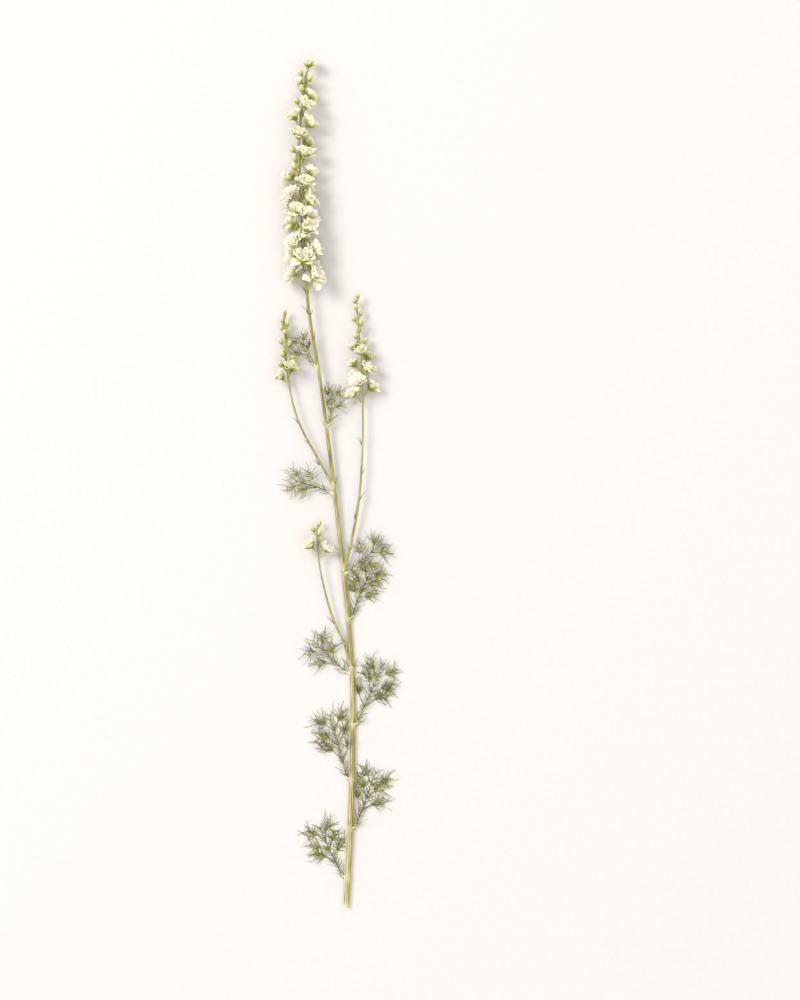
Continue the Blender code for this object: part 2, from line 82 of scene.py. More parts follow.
# A spray is one axis with a flower at each rank. Pairs run from the lowest rank to the highest.
SPRAYS = [
    {"name": "floret", "axis": "stem", "ranks": 36, "buds": (19, 22, 25, 28, 30, 32, 34, 35),
     "from_tip": (168, 8), "first": 32, "reach": (5.2, 3.4), "climb": (6.5, 4.0), "facing": (54, 34),
     "size": (9.8, 7.2), "bud_size": (6.4, 5.2), "openness": (0.9, 0.3), "seed": 33},
    {"name": "right_floret", "axis": "right", "ranks": 18, "buds": range(9, 18),
     "from_tip": (80, 2), "first": 200, "reach": (4.8, 1.6), "climb": (5.0, 2.4), "facing": (52, 14),
     "size": (7.4, 5.2), "bud_size": (6.0, 4.2), "openness": (0.7, 0.0), "seed": 21},
    {"name": "left_floret", "axis": "left", "ranks": 16, "buds": range(3, 16),
     "from_tip": (54, 1), "first": 150, "reach": (4.2, 1.2), "climb": (4.4, 2.0), "facing": (44, 12),
     "size": (6.6, 5.0), "bud_size": (5.8, 3.8), "openness": (0.45, 0.0), "seed": 31},
    {"name": "low_floret", "axis": "low_left", "ranks": 6, "buds": range(2, 6),
     "from_tip": (24, 1), "first": 10, "reach": (4.4, 1.8), "climb": (4.2, 2.0), "facing": (46, 16),
     "size": (6.8, 5.4), "bud_size": (5.4, 4.4), "openness": (0.6, 0.2), "seed": 41},
]
TIP_FLORET = {"azimuth": 0, "reach": 0.1, "climb": 1.5, "facing": 6, "size": 7.6, "openness": 0.4}
PRESSED_ABOVE = 0.85
PRESSED_BELOW = 0.55
CLOSED_REACH = 0.8
PEDICEL_BEND = (0.56, 0.36)
SEAT_HEIGHT = 0.61
SPUR_LENGTH = 2.4
SPUR_HEADING = (0.85, -0.5)
BUD_SLENDERNESS = 0.56
BUD_FULLNESS = 1.32
STATION_PLAY = 0.6
AZIMUTH_PLAY = 7
FACING_PLAY = 6
OPENNESS_PLAY = 0.22

# Rings of petals. A rim is a radius and a height above the seat. Lengths and widths are shares of the
# floret's size. In the pairs, the first value is for a closed floret and the second is what full
# openness adds. The outer and inner rings follow the solids, and the others fill the double flower.
OUTER_RING = {"count": 5, "rim": (1.5, 1.7), "length": 1.0, "width": 0.88, "lean": (30, 24),
              "curl": (-34, 40), "cup": (0.4, -0.2)}
INNER_RING = {"count": 3, "rim": (0.6, 2.9), "length": 0.66, "width": 0.64, "lean": (4, 22),
              "curl": (-3, 12), "cup": (0.25, 0.0)}
MIDDLE_RING = {"count": 5, "rim": (1.2, 2.0), "length": 0.9, "width": 0.74, "lean": (18, 26),
               "curl": (-18, 34), "cup": (0.35, -0.1)}
HEART_RING = {"count": 4, "rim": (0.5, 2.8), "length": 0.58, "width": 0.5, "lean": (6, 26),
              "curl": (0, 24), "cup": (0.3, 0.0)}
SKIRT_RING = {"count": 4, "rim": (1.6, 1.3), "length": 0.94, "width": 0.78, "lean": (34, 44),
              "curl": (-40, 62), "cup": (0.4, -0.3)}
# How far a dried petal strays from the plan: degrees round the floret, degrees of lean and of curl, and
# shares of its length and of its width.
STRAY = {"azimuth": 10, "lean": 11, "curl": 26, "length": 0.16, "width": 0.2}

LEAF_PLACES = [
    # station on the stem, side (-1 left, 1 right), length, lean out from the stem in degrees, seed
    (22, -1, 40, 22, 520), (60, 1, 44, 20, 502), (98, -1, 48, 22, 503), (140, 1, 48, 20, 504),
    (180, -1, 36, 52, 505), (222, 1, 38.5, 20, 626), (257, 1, 34, 54, 507), (320, -1, 32, 60, 508),
    (372, 1, 26, 16, 509), (418, -1, 24, 16, 702),
]
LEAF_LIFT = 0.44
LEAF_CLEARANCE = 1.4
LEAF_ROOT_GAP = 0.85
THREAD_STEP = 1.1
SHORT_LEAF = 38
LONG_FORKS = (0.3, 0.52, 0.74)
SHORT_FORKS = (0.34, 0.66)
SIDE_FORKS = (0.42,)
SIDE_RIB_SHARE = 0.5
FORK_SHORTENING = 0.45
SIDE_SWING = (32, 42)
INNER_THREAD = {"swing": (20, 26), "lift": (0.1, 0.4), "reach": (0.36, 0.44)}
OUTER_THREAD = {"swing": (26, 38), "lift": (-0.3, 0.1), "reach": (0.5, 0.65)}
FEATHER_SPACING = 2.1
FEATHER_REACH = (4.5, 10.5)

# The picture: how many millimetres one of its 1000 rows shows, and where the plant's box lies in it.
MM_PER_ROW = 0.77
PLANT_CENTRE_COLUMN = 335
PLANT_CENTRE_ROW = 482


def linear(hex_colour):
    """An sRGB hex colour as linear red, green and blue."""
    values = [int(hex_colour[i:i + 2], 16) / 255 for i in (1, 3, 5)]
    return [c / 12.92 if c <= 0.04045 else ((c + 0.055) / 1.055) ** 2.4 for c in values]


def in_frame(point):
    """A point of the plant's plan, in millimetres, as a place in the frame, in metres."""
    return ((point[0] - FRAME_CENTRE[0]) * MM, (point[1] - FRAME_CENTRE[1]) * MM, point[2] * MM)


def turned(direction, degrees):
    """A direction swung to the left by so many degrees, seen from above."""
    return Matrix.Rotation(math.radians(degrees), 3, UP) @ direction


class Route:
    """A smooth line through a few points, read by the distance along it."""

    STEPS = 8

    def __init__(self, corners):
        corners = [Vector(c) for c in corners]
        ends = [2 * corners[0] - corners[1], *corners, 2 * corners[-1] - corners[-2]]
        self.points = [corners[0]]
        for before, a, b, after in zip(ends, ends[1:], ends[2:], ends[3:]):
            for step in range(1, self.STEPS + 1):
                t = step / self.STEPS
                self.points.append(0.5 * (
                    2 * a + (b - before) * t
                    + (2 * before - 5 * a + 4 * b - after) * t * t
                    + (3 * a - before - 3 * b + after) * t ** 3
                ))
        self.stations = [0.0]
        for a, b in zip(self.points, self.points[1:]):
            self.stations.append(self.stations[-1] + (b - a).length)
        self.length = self.stations[-1]

    def at(self, station):
        station = min(max(station, 0.0), self.length)
        for i in range(1, len(self.stations)):
            if station <= self.stations[i]:
                span = self.stations[i] - self.stations[i - 1]
                share = (station - self.stations[i - 1]) / span
                return self.points[i - 1].lerp(self.points[i], share)
        return self.points[-1].copy()

    def frame(self, station):
        """The point, the direction along the axis, and the directions to its right and above it."""
        along = (self.at(station + 1.5) - self.at(station - 1.5)).normalized()
        right = along.cross(UP).normalized()
        return self.at(station), along, right, right.cross(along)


class Flower:
    """A floret or a bud: where its stalk leaves the axis, where the stalk ends, and how it faces."""

    def __init__(self, route, station, azimuth, reach, climb, facing, size, openness, seed):
        here, along, right, above = route.frame(station)
        rise = math.sin(azimuth)
        outward = right * math.cos(azimuth) + above * rise * (PRESSED_ABOVE if rise > 0 else PRESSED_BELOW)
        tilt = math.radians(facing)
        self.along = along
        self.outward = outward
        self.root = here
        self.bend = here + outward * reach * PEDICEL_BEND[0] + along * climb * PEDICEL_BEND[1]
        self.base = here + outward * reach + along * climb
        self.facing = (along * math.cos(tilt) + outward * math.sin(tilt)).normalized()
        self.spur = (along * SPUR_HEADING[0] + outward * SPUR_HEADING[1]).normalized()
        self.seat = self.base + self.facing * SEAT_HEIGHT
        self.size = size
        self.openness = openness
        self.seed = seed


def flowers_of(spray, route):
    """The florets and the buds of a spray, each turned by the golden angle from the one below it."""
    draw = random.Random(spray["seed"])
    florets = []
    buds = []
    for rank in range(spray["ranks"]):
        def between(key):
            low, high = spray[key]
            return low + (high - low) * rank / (spray["ranks"] - 1)

        closed = rank in spray["buds"]
        flower = Flower(
            route,
            route.length - between("from_tip") + draw.uniform(-STATION_PLAY, STATION_PLAY),
            math.radians(spray["first"] + rank * GOLDEN_ANGLE + draw.uniform(-AZIMUTH_PLAY, AZIMUTH_PLAY)),
            between("reach") * draw.uniform(0.94, 1.08) * (CLOSED_REACH if closed else 1),
            between("climb") * draw.uniform(0.9, 1.1),
            between("facing") + draw.uniform(-FACING_PLAY, FACING_PLAY),
            between("bud_size" if closed else "size") * draw.uniform(0.93, 1.05),
            min(1.0, max(0.0, between("openness") + draw.uniform(-OPENNESS_PLAY, OPENNESS_PLAY))),
            spray["seed"] * 100 + rank,
        )
        (buds if closed else florets).append(flower)
    if spray["axis"] == "stem":
        florets.append(Flower(route, route.length, **TIP_FLORET, seed=spray["seed"]))
    return florets, buds


def ring_of_petals(draw, flower, shape, first):
    """One ring's petals, each a little different in length, lean and twist."""
    lean, curl, cup = (shut + opened * flower.openness for shut, opened in (
        shape["lean"], shape["curl"], shape["cup"]
    ))
    length = flower.size * shape["length"]
    width = flower.size * shape["width"]
    rim_radius, rim_height = shape["rim"]
    petals = []
    for i in range(shape["count"]):
        petals.append({
            "azimuth": math.radians(first + 360 * i / shape["count"]),
            "length": length * draw.uniform(0.9, 1.1),
            "width": width * draw.uniform(0.92, 1.06),
            "lean": math.radians(lean + draw.uniform(-6, 6)),
            "curl": math.radians(curl + draw.uniform(-12, 12)),
            "cup": cup * draw.uniform(0.7, 1.2),
            "ruffle": length * draw.uniform(0.03, 0.09),
            "phase": draw.uniform(0, math.tau),
            "pointed": draw.random(),
            "rim_radius": rim_radius,
            "rim_height": rim_height,
            "number": flower.seed * 0.37 % 50 + first * 0.11 + i * 1.7,
            "tint": (1 - flower.openness) * 1.35 + 0.08 * (i % 3),
        })
    return petals


def petals_of(flower):
    """All the petals of a double floret: the solids' two rings first, then the three that fill it."""
    draw = random.Random(flower.seed)
    first = draw.uniform(0, 72)
    petals = ring_of_petals(draw, flower, OUTER_RING, first)
    petals += ring_of_petals(draw, flower, INNER_RING, first + 36)
    petals += ring_of_petals(draw, flower, MIDDLE_RING, first + 36)
    petals += ring_of_petals(draw, flower, HEART_RING, first + 20)
    petals += ring_of_petals(draw, flower, SKIRT_RING, first + 30)
    for petal in petals:
        petal["azimuth"] += math.radians(draw.uniform(-STRAY["azimuth"], STRAY["azimuth"]))
        petal["lean"] += math.radians(draw.uniform(-STRAY["lean"], STRAY["lean"])) * (0.4 + flower.openness)
        petal["curl"] += math.radians(draw.uniform(-STRAY["curl"], STRAY["curl"])) * (0.4 + flower.openness)
        petal["length"] *= 1 + draw.uniform(-STRAY["length"], STRAY["length"])
        petal["width"] *= 1 + draw.uniform(-STRAY["width"], STRAY["width"])
        petal["crease"] = draw.uniform(-0.25, 0.55)
    return petals


PLANT = {"stem": Route(STEM_ROUTE)}
for shoot_name, shoot_points in SHOOT_ROUTES.items():
    PLANT[shoot_name] = Route(shoot_points)
FLOWERS = {spray["name"]: flowers_of(spray, PLANT[spray["axis"]]) for spray in SPRAYS}


def add(tree, kind, feeds=None, stops=(), **settings):
    """Adds a node with its settings and its links.

    feeds gives its inputs, as values, as sockets or as nodes. stops gives the points of a colour ramp, as
    shares and colours, or of a curve, as pairs of numbers, from the first to the last.
    """
    node = tree.nodes.new(kind)
    for name, value in settings.items():
        setattr(node, name, value)
    for socket, value in (feeds or {}).items():
        if isinstance(value, bpy.types.Node):
            value = next(output for output in value.outputs if output.enabled)
        if isinstance(value, bpy.types.NodeSocket):
            tree.links.new(value, node.inputs[socket])
        else:
            node.inputs[socket].default_value = value
    if stops and hasattr(node, "color_ramp"):
        elements = node.color_ramp.elements
        while len(elements) < len(stops):
            elements.new(0.5)
        for element, (share, colour) in zip(elements, stops):
            element.position = share
            element.color = (*(linear(colour) if isinstance(colour, str) else colour), 1)
    elif stops:
        points = node.mapping.curves[0].points
        for share, height in stops[1:-1]:
            points.new(share, height)
        points[0].location = stops[0]
        points[-1].location = stops[-1]
        node.mapping.update()
    return node


def new_tree(name, inputs):
    """An empty geometry tree with a Geometry input and output, and the given named inputs."""
    tree = bpy.data.node_groups.new(name, "GeometryNodeTree")
    tree.interface.new_socket("Geometry", in_out="INPUT", socket_type="NodeSocketGeometry")
    tree.interface.new_socket("Geometry", in_out="OUTPUT", socket_type="NodeSocketGeometry")
    for label, kind in inputs:
        tree.interface.new_socket(label, in_out="INPUT", socket_type="NodeSocket" + kind)
    return tree, tree.nodes.new("NodeGroupInput"), tree.nodes.new("NodeGroupOutput")


def grown(name, roots, tree, values):
    """Runs a tree on a mesh of roots or paths, and keeps what grows as a plain mesh at the origin."""
    source = bpy.data.objects.new(name, roots)
    bpy.context.scene.collection.objects.link(source)
    modifier = source.modifiers.new("grow", "NODES")
    modifier.node_group = tree
    for item in tree.interface.items_tree:
        if item.in_out == "INPUT" and item.name in values:
            modifier[item.identifier] = values[item.name]
    bpy.context.view_layer.update()
    graph = bpy.context.evaluated_depsgraph_get()
    mesh = bpy.data.meshes.new_from_object(source.evaluated_get(graph))
    source.modifiers.clear()
    source.data = mesh
    mesh.name = name
    bpy.data.meshes.remove(roots)
    return source


def walled(obj, thickness):
    """Gives a sheet its thickness, and keeps its rim and its sharpest folds crisp."""
    wall = obj.modifiers.new("wall", "SOLIDIFY")
    wall.thickness = thickness
    wall.offset = 0
    graph = bpy.context.evaluated_depsgraph_get()
    mesh = bpy.data.meshes.new_from_object(obj.evaluated_get(graph))
    obj.modifiers.clear()
    mesh.set_sharp_from_angle(angle=math.radians(50))
    mesh.name = obj.data.name
    obj.data = mesh
    return obj


def points_mesh(name, points, fields, edges=()):
    """Loose points, or points joined by edges, each with named numbers and vectors of its own."""
    mesh = bpy.data.meshes.new(name)
    mesh.from_pydata(points, edges, [])
    for label, values in fields.items():
        is_vector = isinstance(values[0], Vector)
        field = mesh.attributes.new(label, "FLOAT_VECTOR" if is_vector else "FLOAT", "POINT")
        if is_vector:
            field.data.foreach_set("vector", [c for value in values for c in value])
        else:
            field.data.foreach_set("value", values)
    return mesh


def paths_mesh(name, paths):
    """Paths as chains of edges. A point of a path is its place, radius, share along and tint."""
    points = [in_frame(place) for path in paths for place, _, _, _ in path]
    fields = {
        "thickness": [radius * MM for path in paths for _, radius, _, _ in path],
        "along": [along for path in paths for _, _, along, _ in path],
        "tint": [tint for path in paths for _, _, _, tint in path],
    }
    edges = []
    first = 0
    for path in paths:
        edges += [(i, i + 1) for i in range(first, first + len(path) - 1)]
        first += len(path)
    return points_mesh(name, points, fields, edges)


def stalk_tree():
    """Stalks along paths: a round or ribbed section swept along each path, and made to waver a little."""
    tree, given, result = new_tree("Stalks along paths", [
        ("Step", "Float"), ("Sides", "Int"), ("Ribs", "Float"), ("Rib depth", "Float"),
        ("Waver", "Float"), ("Waver size", "Float"), ("Seed", "Float"), ("Material", "Material"),
    ])
    curve = add(tree, "GeometryNodeMeshToCurve", {"Mesh": given.outputs["Geometry"]})
    smooth = add(tree, "GeometryNodeCurveSplineType", {"Curve": curve}, spline_type="CATMULL_ROM")
    fine = add(tree, "GeometryNodeResampleCurve", {
        "Curve": smooth, "Length": given.outputs["Step"],
    }, mode="LENGTH")

    place = add(tree, "GeometryNodeInputPosition")
    scaled = add(tree, "ShaderNodeVectorMath", {0: place, "Scale": given.outputs["Waver size"]}, operation="SCALE")
    noise = add(tree, "ShaderNodeTexNoise", {
        "Vector": scaled.outputs[0], "W": given.outputs["Seed"], "Scale": 1.0, "Detail": 1.0,
    }, noise_dimensions="4D")
    centred = add(tree, "ShaderNodeVectorMath", {
        0: noise.outputs["Color"], 1: (0.5, 0.5, 0.5),
    }, operation="SUBTRACT")
    along = add(tree, "GeometryNodeInputNamedAttribute", {"Name": "along"}, data_type="FLOAT")
    swing = add(tree, "ShaderNodeMath", {0: along, 1: given.outputs["Waver"]}, operation="MULTIPLY")
    offset = add(tree, "ShaderNodeVectorMath", {0: centred, "Scale": swing}, operation="SCALE")
    wavering = add(tree, "GeometryNodeSetPosition", {"Geometry": fine, "Offset": offset})

    circle = add(tree, "GeometryNodeCurvePrimitiveCircle", {
        "Resolution": given.outputs["Sides"], "Radius": 1.0,
    })
    spot = add(tree, "ShaderNodeSeparateXYZ", {0: add(tree, "GeometryNodeInputPosition")})
    angle = add(tree, "ShaderNodeMath", {0: spot.outputs["Y"], 1: spot.outputs["X"]}, operation="ARCTAN2")
    turns = add(tree, "ShaderNodeMath", {0: angle, 1: given.outputs["Ribs"]}, operation="MULTIPLY")
    wave = add(tree, "ShaderNodeMath", {0: turns}, operation="COSINE")
    swell = add(tree, "ShaderNodeMath", {
        0: wave, 1: given.outputs["Rib depth"], 2: 1.0,
    }, operation="MULTIPLY_ADD")
    ribbed_place = add(tree, "ShaderNodeVectorMath", {
        0: add(tree, "GeometryNodeInputPosition"), "Scale": swell,
    }, operation="SCALE")
    ribbed = add(tree, "GeometryNodeSetPosition", {"Geometry": circle, "Position": ribbed_place})
    # The ridge is stored for the materials, which darken the grooves with it as painted shade.
    ridge = add(tree, "ShaderNodeMath", {0: wave, 1: 0.5, 2: 0.5}, operation="MULTIPLY_ADD")
    marked = add(tree, "GeometryNodeStoreNamedAttribute", {
        "Geometry": ribbed, "Name": "ridge", "Value": ridge,
    }, data_type="FLOAT", domain="POINT")

    thickness = add(tree, "GeometryNodeInputNamedAttribute", {"Name": "thickness"}, data_type="FLOAT")
    stalks = add(tree, "GeometryNodeCurveToMesh", {
        "Curve": wavering, "Profile Curve": marked, "Scale": thickness, "Fill Caps": True,
    })
    parts = add(tree, "ShaderNodeSeparateXYZ", {0: add(tree, "GeometryNodeInputPosition")})
    height = add(tree, "ShaderNodeMath", {0: parts.outputs["Z"], 1: 0.02 * MM}, operation="MAXIMUM")
    lifted = add(tree, "ShaderNodeCombineXYZ", {
        "X": parts.outputs["X"], "Y": parts.outputs["Y"], "Z": height,
    })
    resting = add(tree, "GeometryNodeSetPosition", {"Geometry": stalks, "Position": lifted})
    close_tree(tree, given, result, resting)
    return tree


def sheet_on_roots(tree, given, columns, rows):
    """The start of a tree: a sheet on each root, with across (-1 to 1) and along (0 to 1) stored on it."""
    grid = add(tree, "GeometryNodeMeshGrid", {
        "Size X": 2.0, "Size Y": 1.0, "Vertices X": given.outputs[columns], "Vertices Y": given.outputs[rows],
    })
    spot = add(tree, "ShaderNodeSeparateXYZ", {0: add(tree, "GeometryNodeInputPosition")})
    share = add(tree, "ShaderNodeMath", {0: spot.outputs["Y"], 1: 0.5}, operation="ADD")
    with_across = add(tree, "GeometryNodeStoreNamedAttribute", {
        "Geometry": grid.outputs["Mesh"], "Name": "across", "Value": spot.outputs["X"],
    }, data_type="FLOAT", domain="POINT")
    with_both = add(tree, "GeometryNodeStoreNamedAttribute", {
        "Geometry": with_across, "Name": "along", "Value": share,
    }, data_type="FLOAT", domain="POINT")
    sheets = add(tree, "GeometryNodeInstanceOnPoints", {
        "Points": given.outputs["Geometry"], "Instance": with_both,
    })
    real = add(tree, "GeometryNodeRealizeInstances", {"Geometry": sheets})
    return real


def laid_out(tree, sheets, given, outward, sideways, upward):
    """The end of a tree: each point goes to its place round its root, and stays above the surface."""
    place = add(tree, "GeometryNodeInputNamedAttribute", {"Name": "seat"}, data_type="FLOAT_VECTOR")
    for axis, distance in (("out_axis", outward), ("side_axis", sideways), ("up_axis", upward)):
        direction = add(tree, "GeometryNodeInputNamedAttribute", {"Name": axis}, data_type="FLOAT_VECTOR")
        step = add(tree, "ShaderNodeVectorMath", {0: direction, "Scale": distance}, operation="SCALE")
        place = add(tree, "ShaderNodeVectorMath", {0: place, 1: step.outputs[0]}, operation="ADD")
    parts = add(tree, "ShaderNodeSeparateXYZ", {0: place})
    height = add(tree, "ShaderNodeMath", {
        0: parts.outputs["Z"], 1: given.outputs["Floor"], 2: 0.5 * MM,
    }, operation="SMOOTH_MAX")
    pressed = add(tree, "ShaderNodeCombineXYZ", {
        "X": parts.outputs["X"], "Y": parts.outputs["Y"], "Z": height,
    })
    return add(tree, "GeometryNodeSetPosition", {"Geometry": sheets, "Position": pressed})


def close_tree(tree, given, result, geometry):
    """The last nodes of every tree: smooth shading, real meshes in place of instances, and the finish."""
    soft = add(tree, "GeometryNodeSetShadeSmooth", {"Geometry": geometry, "Shade Smooth": True})
    real = add(tree, "GeometryNodeRealizeInstances", {"Geometry": soft})
    coated = add(tree, "GeometryNodeSetMaterial", {
        "Geometry": real, "Material": given.outputs["Material"],
    })
    tree.links.new(coated.outputs[0], result.inputs[0])


def petal_tree():
    """Petals on their roots: each curls out from its floret's rim, with a ruffled and torn edge."""
    tree, given, result = new_tree("Petals on their roots", [
        ("Columns", "Int"), ("Rows", "Int"), ("Torn rim", "Float"), ("Crumple", "Float"),
        ("Floor", "Float"), ("Material", "Material"),
    ])
    sheets = sheet_on_roots(tree, given, "Columns", "Rows")
    names = ("across", "along", "length", "width", "lean", "curl", "cup", "ruffle", "phase",
             "pointed", "rim_radius", "rim_height", "number", "crease")
    of = {
        name: add(tree, "GeometryNodeInputNamedAttribute", {"Name": name}, data_type="FLOAT")
        for name in names
    }

    outline = add(tree, "ShaderNodeFloatCurve", {"Value": of["along"]}, stops=[
        (0, 0.12), (0.2, 0.28), (0.45, 0.72), (0.7, 1.0), (0.9, 0.9), (1, 0.5),
    ])
    half = add(tree, "ShaderNodeMath", {0: outline, 1: of["width"]}, operation="MULTIPLY")
    half = add(tree, "ShaderNodeMath", {0: half, 1: 0.5}, operation="MULTIPLY")

    v = add(tree, "ShaderNodeMath", {0: of["along"], 1: 1.2, 2: -0.2}, operation="MULTIPLY_ADD")
    v_squared = add(tree, "ShaderNodeMath", {0: v, 1: v}, operation="MULTIPLY")
    u_squared = add(tree, "ShaderNodeMath", {0: of["across"], 1: of["across"]}, operation="MULTIPLY")

    edge_spot = add(tree, "ShaderNodeCombineXYZ", {"X": of["across"], "Y": of["number"]})
    torn = add(tree, "ShaderNodeTexNoise", {
        "Vector": edge_spot, "Scale": 3.1, "Detail": 2.0,
    }, noise_dimensions="2D")
    tear = add(tree, "ShaderNodeMath", {0: torn.outputs["Fac"], 1: 0.5}, operation="SUBTRACT")
    tear = add(tree, "ShaderNodeMath", {0: tear, 1: given.outputs["Torn rim"]}, operation="MULTIPLY")
    tear = add(tree, "ShaderNodeMath", {0: tear, 1: v_squared}, operation="MULTIPLY")
    notch = add(tree, "ShaderNodeMath", {0: u_squared, 1: v_squared}, operation="MULTIPLY")
    notch = add(tree, "ShaderNodeMath", {0: notch, 1: of["pointed"]}, operation="MULTIPLY")
    tear = add(tree, "ShaderNodeMath", {0: notch, 1: -0.22, 2: tear}, operation="MULTIPLY_ADD")
    stretch = add(tree, "ShaderNodeMath", {0: tear, 1: 1.0}, operation="ADD")
    reach = add(tree, "ShaderNodeMath", {0: of["length"], 1: v}, operation="MULTIPLY")
    reach = add(tree, "ShaderNodeMath", {0: reach, 1: stretch}, operation="MULTIPLY")

    fold_spot = add(tree, "ShaderNodeCombineXYZ", {"X": of["across"], "Y": of["along"], "Z": of["number"]})
    folds = add(tree, "ShaderNodeTexNoise", {"Vector": fold_spot, "Scale": 2.3, "Detail": 1.5})
    fold = add(tree, "ShaderNodeMath", {0: folds.outputs["Fac"], 1: 0.5}, operation="SUBTRACT")
    fold = add(tree, "ShaderNodeMath", {0: fold, 1: given.outputs["Crumple"]}, operation="MULTIPLY")
    fold = add(tree, "ShaderNodeMath", {0: fold, 1: of["along"]}, operation="MULTIPLY")

    ripple = add(tree, "ShaderNodeMath", {0: of["across"], 1: 2.4, 2: of["phase"]}, operation="MULTIPLY_ADD")
    ripple = add(tree, "ShaderNodeMath", {0: ripple}, operation="SINE")
    ripple = add(tree, "ShaderNodeMath", {0: ripple, 1: of["ruffle"]}, operation="MULTIPLY")
    frill = add(tree, "ShaderNodeMath", {0: of["across"], 1: 7.0, 2: of["phase"]}, operation="MULTIPLY_ADD")
    frill = add(tree, "ShaderNodeMath", {0: frill}, operation="SINE")
    frill = add(tree, "ShaderNodeMath", {0: frill, 1: of["ruffle"]}, operation="MULTIPLY")
    ripple = add(tree, "ShaderNodeMath", {0: frill, 1: 0.7, 2: ripple}, operation="MULTIPLY_ADD")
    cupped = add(tree, "ShaderNodeMath", {0: half, 1: of["cup"]}, operation="MULTIPLY")
    inward = add(tree, "ShaderNodeMath", {0: ripple, 1: v_squared, 2: fold}, operation="MULTIPLY_ADD")
    inward = add(tree, "ShaderNodeMath", {0: cupped, 1: u_squared, 2: inward}, operation="MULTIPLY_ADD")
    fold_side = add(tree, "ShaderNodeMath", {0: of["across"]}, operation="ABSOLUTE")
    fold_side = add(tree, "ShaderNodeMath", {0: fold_side, 1: half}, operation="MULTIPLY")
    fold_side = add(tree, "ShaderNodeMath", {0: fold_side, 1: of["crease"]}, operation="MULTIPLY")
    inward = add(tree, "ShaderNodeMath", {0: inward, 1: fold_side}, operation="ADD")

    bent = add(tree, "ShaderNodeMath", {0: of["curl"], 1: v}, operation="MULTIPLY")
    lean = add(tree, "ShaderNodeMath", {0: bent, 1: 0.5, 2: of["lean"]}, operation="MULTIPLY_ADD")
    slope = add(tree, "ShaderNodeMath", {0: bent, 1: of["lean"]}, operation="ADD")
    lean_sine = add(tree, "ShaderNodeMath", {0: lean}, operation="SINE")
    lean_cosine = add(tree, "ShaderNodeMath", {0: lean}, operation="COSINE")
    slope_sine = add(tree, "ShaderNodeMath", {0: slope}, operation="SINE")
    slope_cosine = add(tree, "ShaderNodeMath", {0: slope}, operation="COSINE")

    outward = add(tree, "ShaderNodeMath", {0: reach, 1: lean_sine, 2: of["rim_radius"]}, operation="MULTIPLY_ADD")
    drawn_in = add(tree, "ShaderNodeMath", {0: inward, 1: slope_cosine}, operation="MULTIPLY")
    outward = add(tree, "ShaderNodeMath", {0: outward, 1: drawn_in}, operation="SUBTRACT")
    upward = add(tree, "ShaderNodeMath", {0: reach, 1: lean_cosine, 2: of["rim_height"]}, operation="MULTIPLY_ADD")
    upward = add(tree, "ShaderNodeMath", {0: inward, 1: slope_sine, 2: upward}, operation="MULTIPLY_ADD")
    sideways = add(tree, "ShaderNodeMath", {0: half, 1: of["across"]}, operation="MULTIPLY")
    petals = laid_out(tree, sheets, given, outward, sideways, upward)
    close_tree(tree, given, result, petals)
    return tree


def bud_tree():
    """Buds on their roots: an egg of five sepals, ridged between them and drawn to a point."""
    tree, given, result = new_tree("Buds on their roots", [
        ("Sides", "Int"), ("Rings", "Int"), ("Crease", "Float"), ("Floor", "Float"), ("Material", "Material"),
    ])
    sheets = sheet_on_roots(tree, given, "Sides", "Rings")
    across, along, length, width, number = (
        add(tree, "GeometryNodeInputNamedAttribute", {"Name": name}, data_type="FLOAT")
        for name in ("across", "along", "length", "width", "number")
    )
    outline = add(tree, "ShaderNodeFloatCurve", {"Value": along}, stops=[
        (0, 0.0), (0.08, 0.42), (0.3, 0.95), (0.5, 1.0), (0.78, 0.66), (0.93, 0.28), (1, 0.0),
    ])
    angle = add(tree, "ShaderNodeMath", {0: across, 1: math.pi}, operation="MULTIPLY")
    twisted = add(tree, "ShaderNodeMath", {0: along, 1: 0.9, 2: angle}, operation="MULTIPLY_ADD")
    seam = add(tree, "ShaderNodeMath", {0: twisted, 1: 2.5, 2: number}, operation="MULTIPLY_ADD")
    seam = add(tree, "ShaderNodeMath", {0: seam}, operation="SINE")
    seam = add(tree, "ShaderNodeMath", {0: seam}, operation="ABSOLUTE")
    # The ridge is stored for the bud's material, which darkens the seams with it as painted shade.
    marked = add(tree, "GeometryNodeStoreNamedAttribute", {
        "Geometry": sheets, "Name": "ridge", "Value": seam,
    }, data_type="FLOAT", domain="POINT")
    radius = add(tree, "ShaderNodeMath", {0: outline, 1: width}, operation="MULTIPLY")
    dent = add(tree, "ShaderNodeMath", {0: seam, 1: 1.0}, operation="SUBTRACT")
    dent = add(tree, "ShaderNodeMath", {0: dent, 1: given.outputs["Crease"], 2: 1.0}, operation="MULTIPLY_ADD")
    radius = add(tree, "ShaderNodeMath", {0: radius, 1: dent}, operation="MULTIPLY")
    cosine = add(tree, "ShaderNodeMath", {0: angle}, operation="COSINE")
    sine = add(tree, "ShaderNodeMath", {0: angle}, operation="SINE")
    outward = add(tree, "ShaderNodeMath", {0: cosine, 1: radius}, operation="MULTIPLY")
    sideways = add(tree, "ShaderNodeMath", {0: sine, 1: radius}, operation="MULTIPLY")
    upward = add(tree, "ShaderNodeMath", {0: along, 1: length}, operation="MULTIPLY")
    eggs = laid_out(tree, marked, given, outward, sideways, upward)
    closed = add(tree, "GeometryNodeMergeByDistance", {"Geometry": eggs, "Distance": 0.01 * MM})
    close_tree(tree, given, result, closed)
    return tree


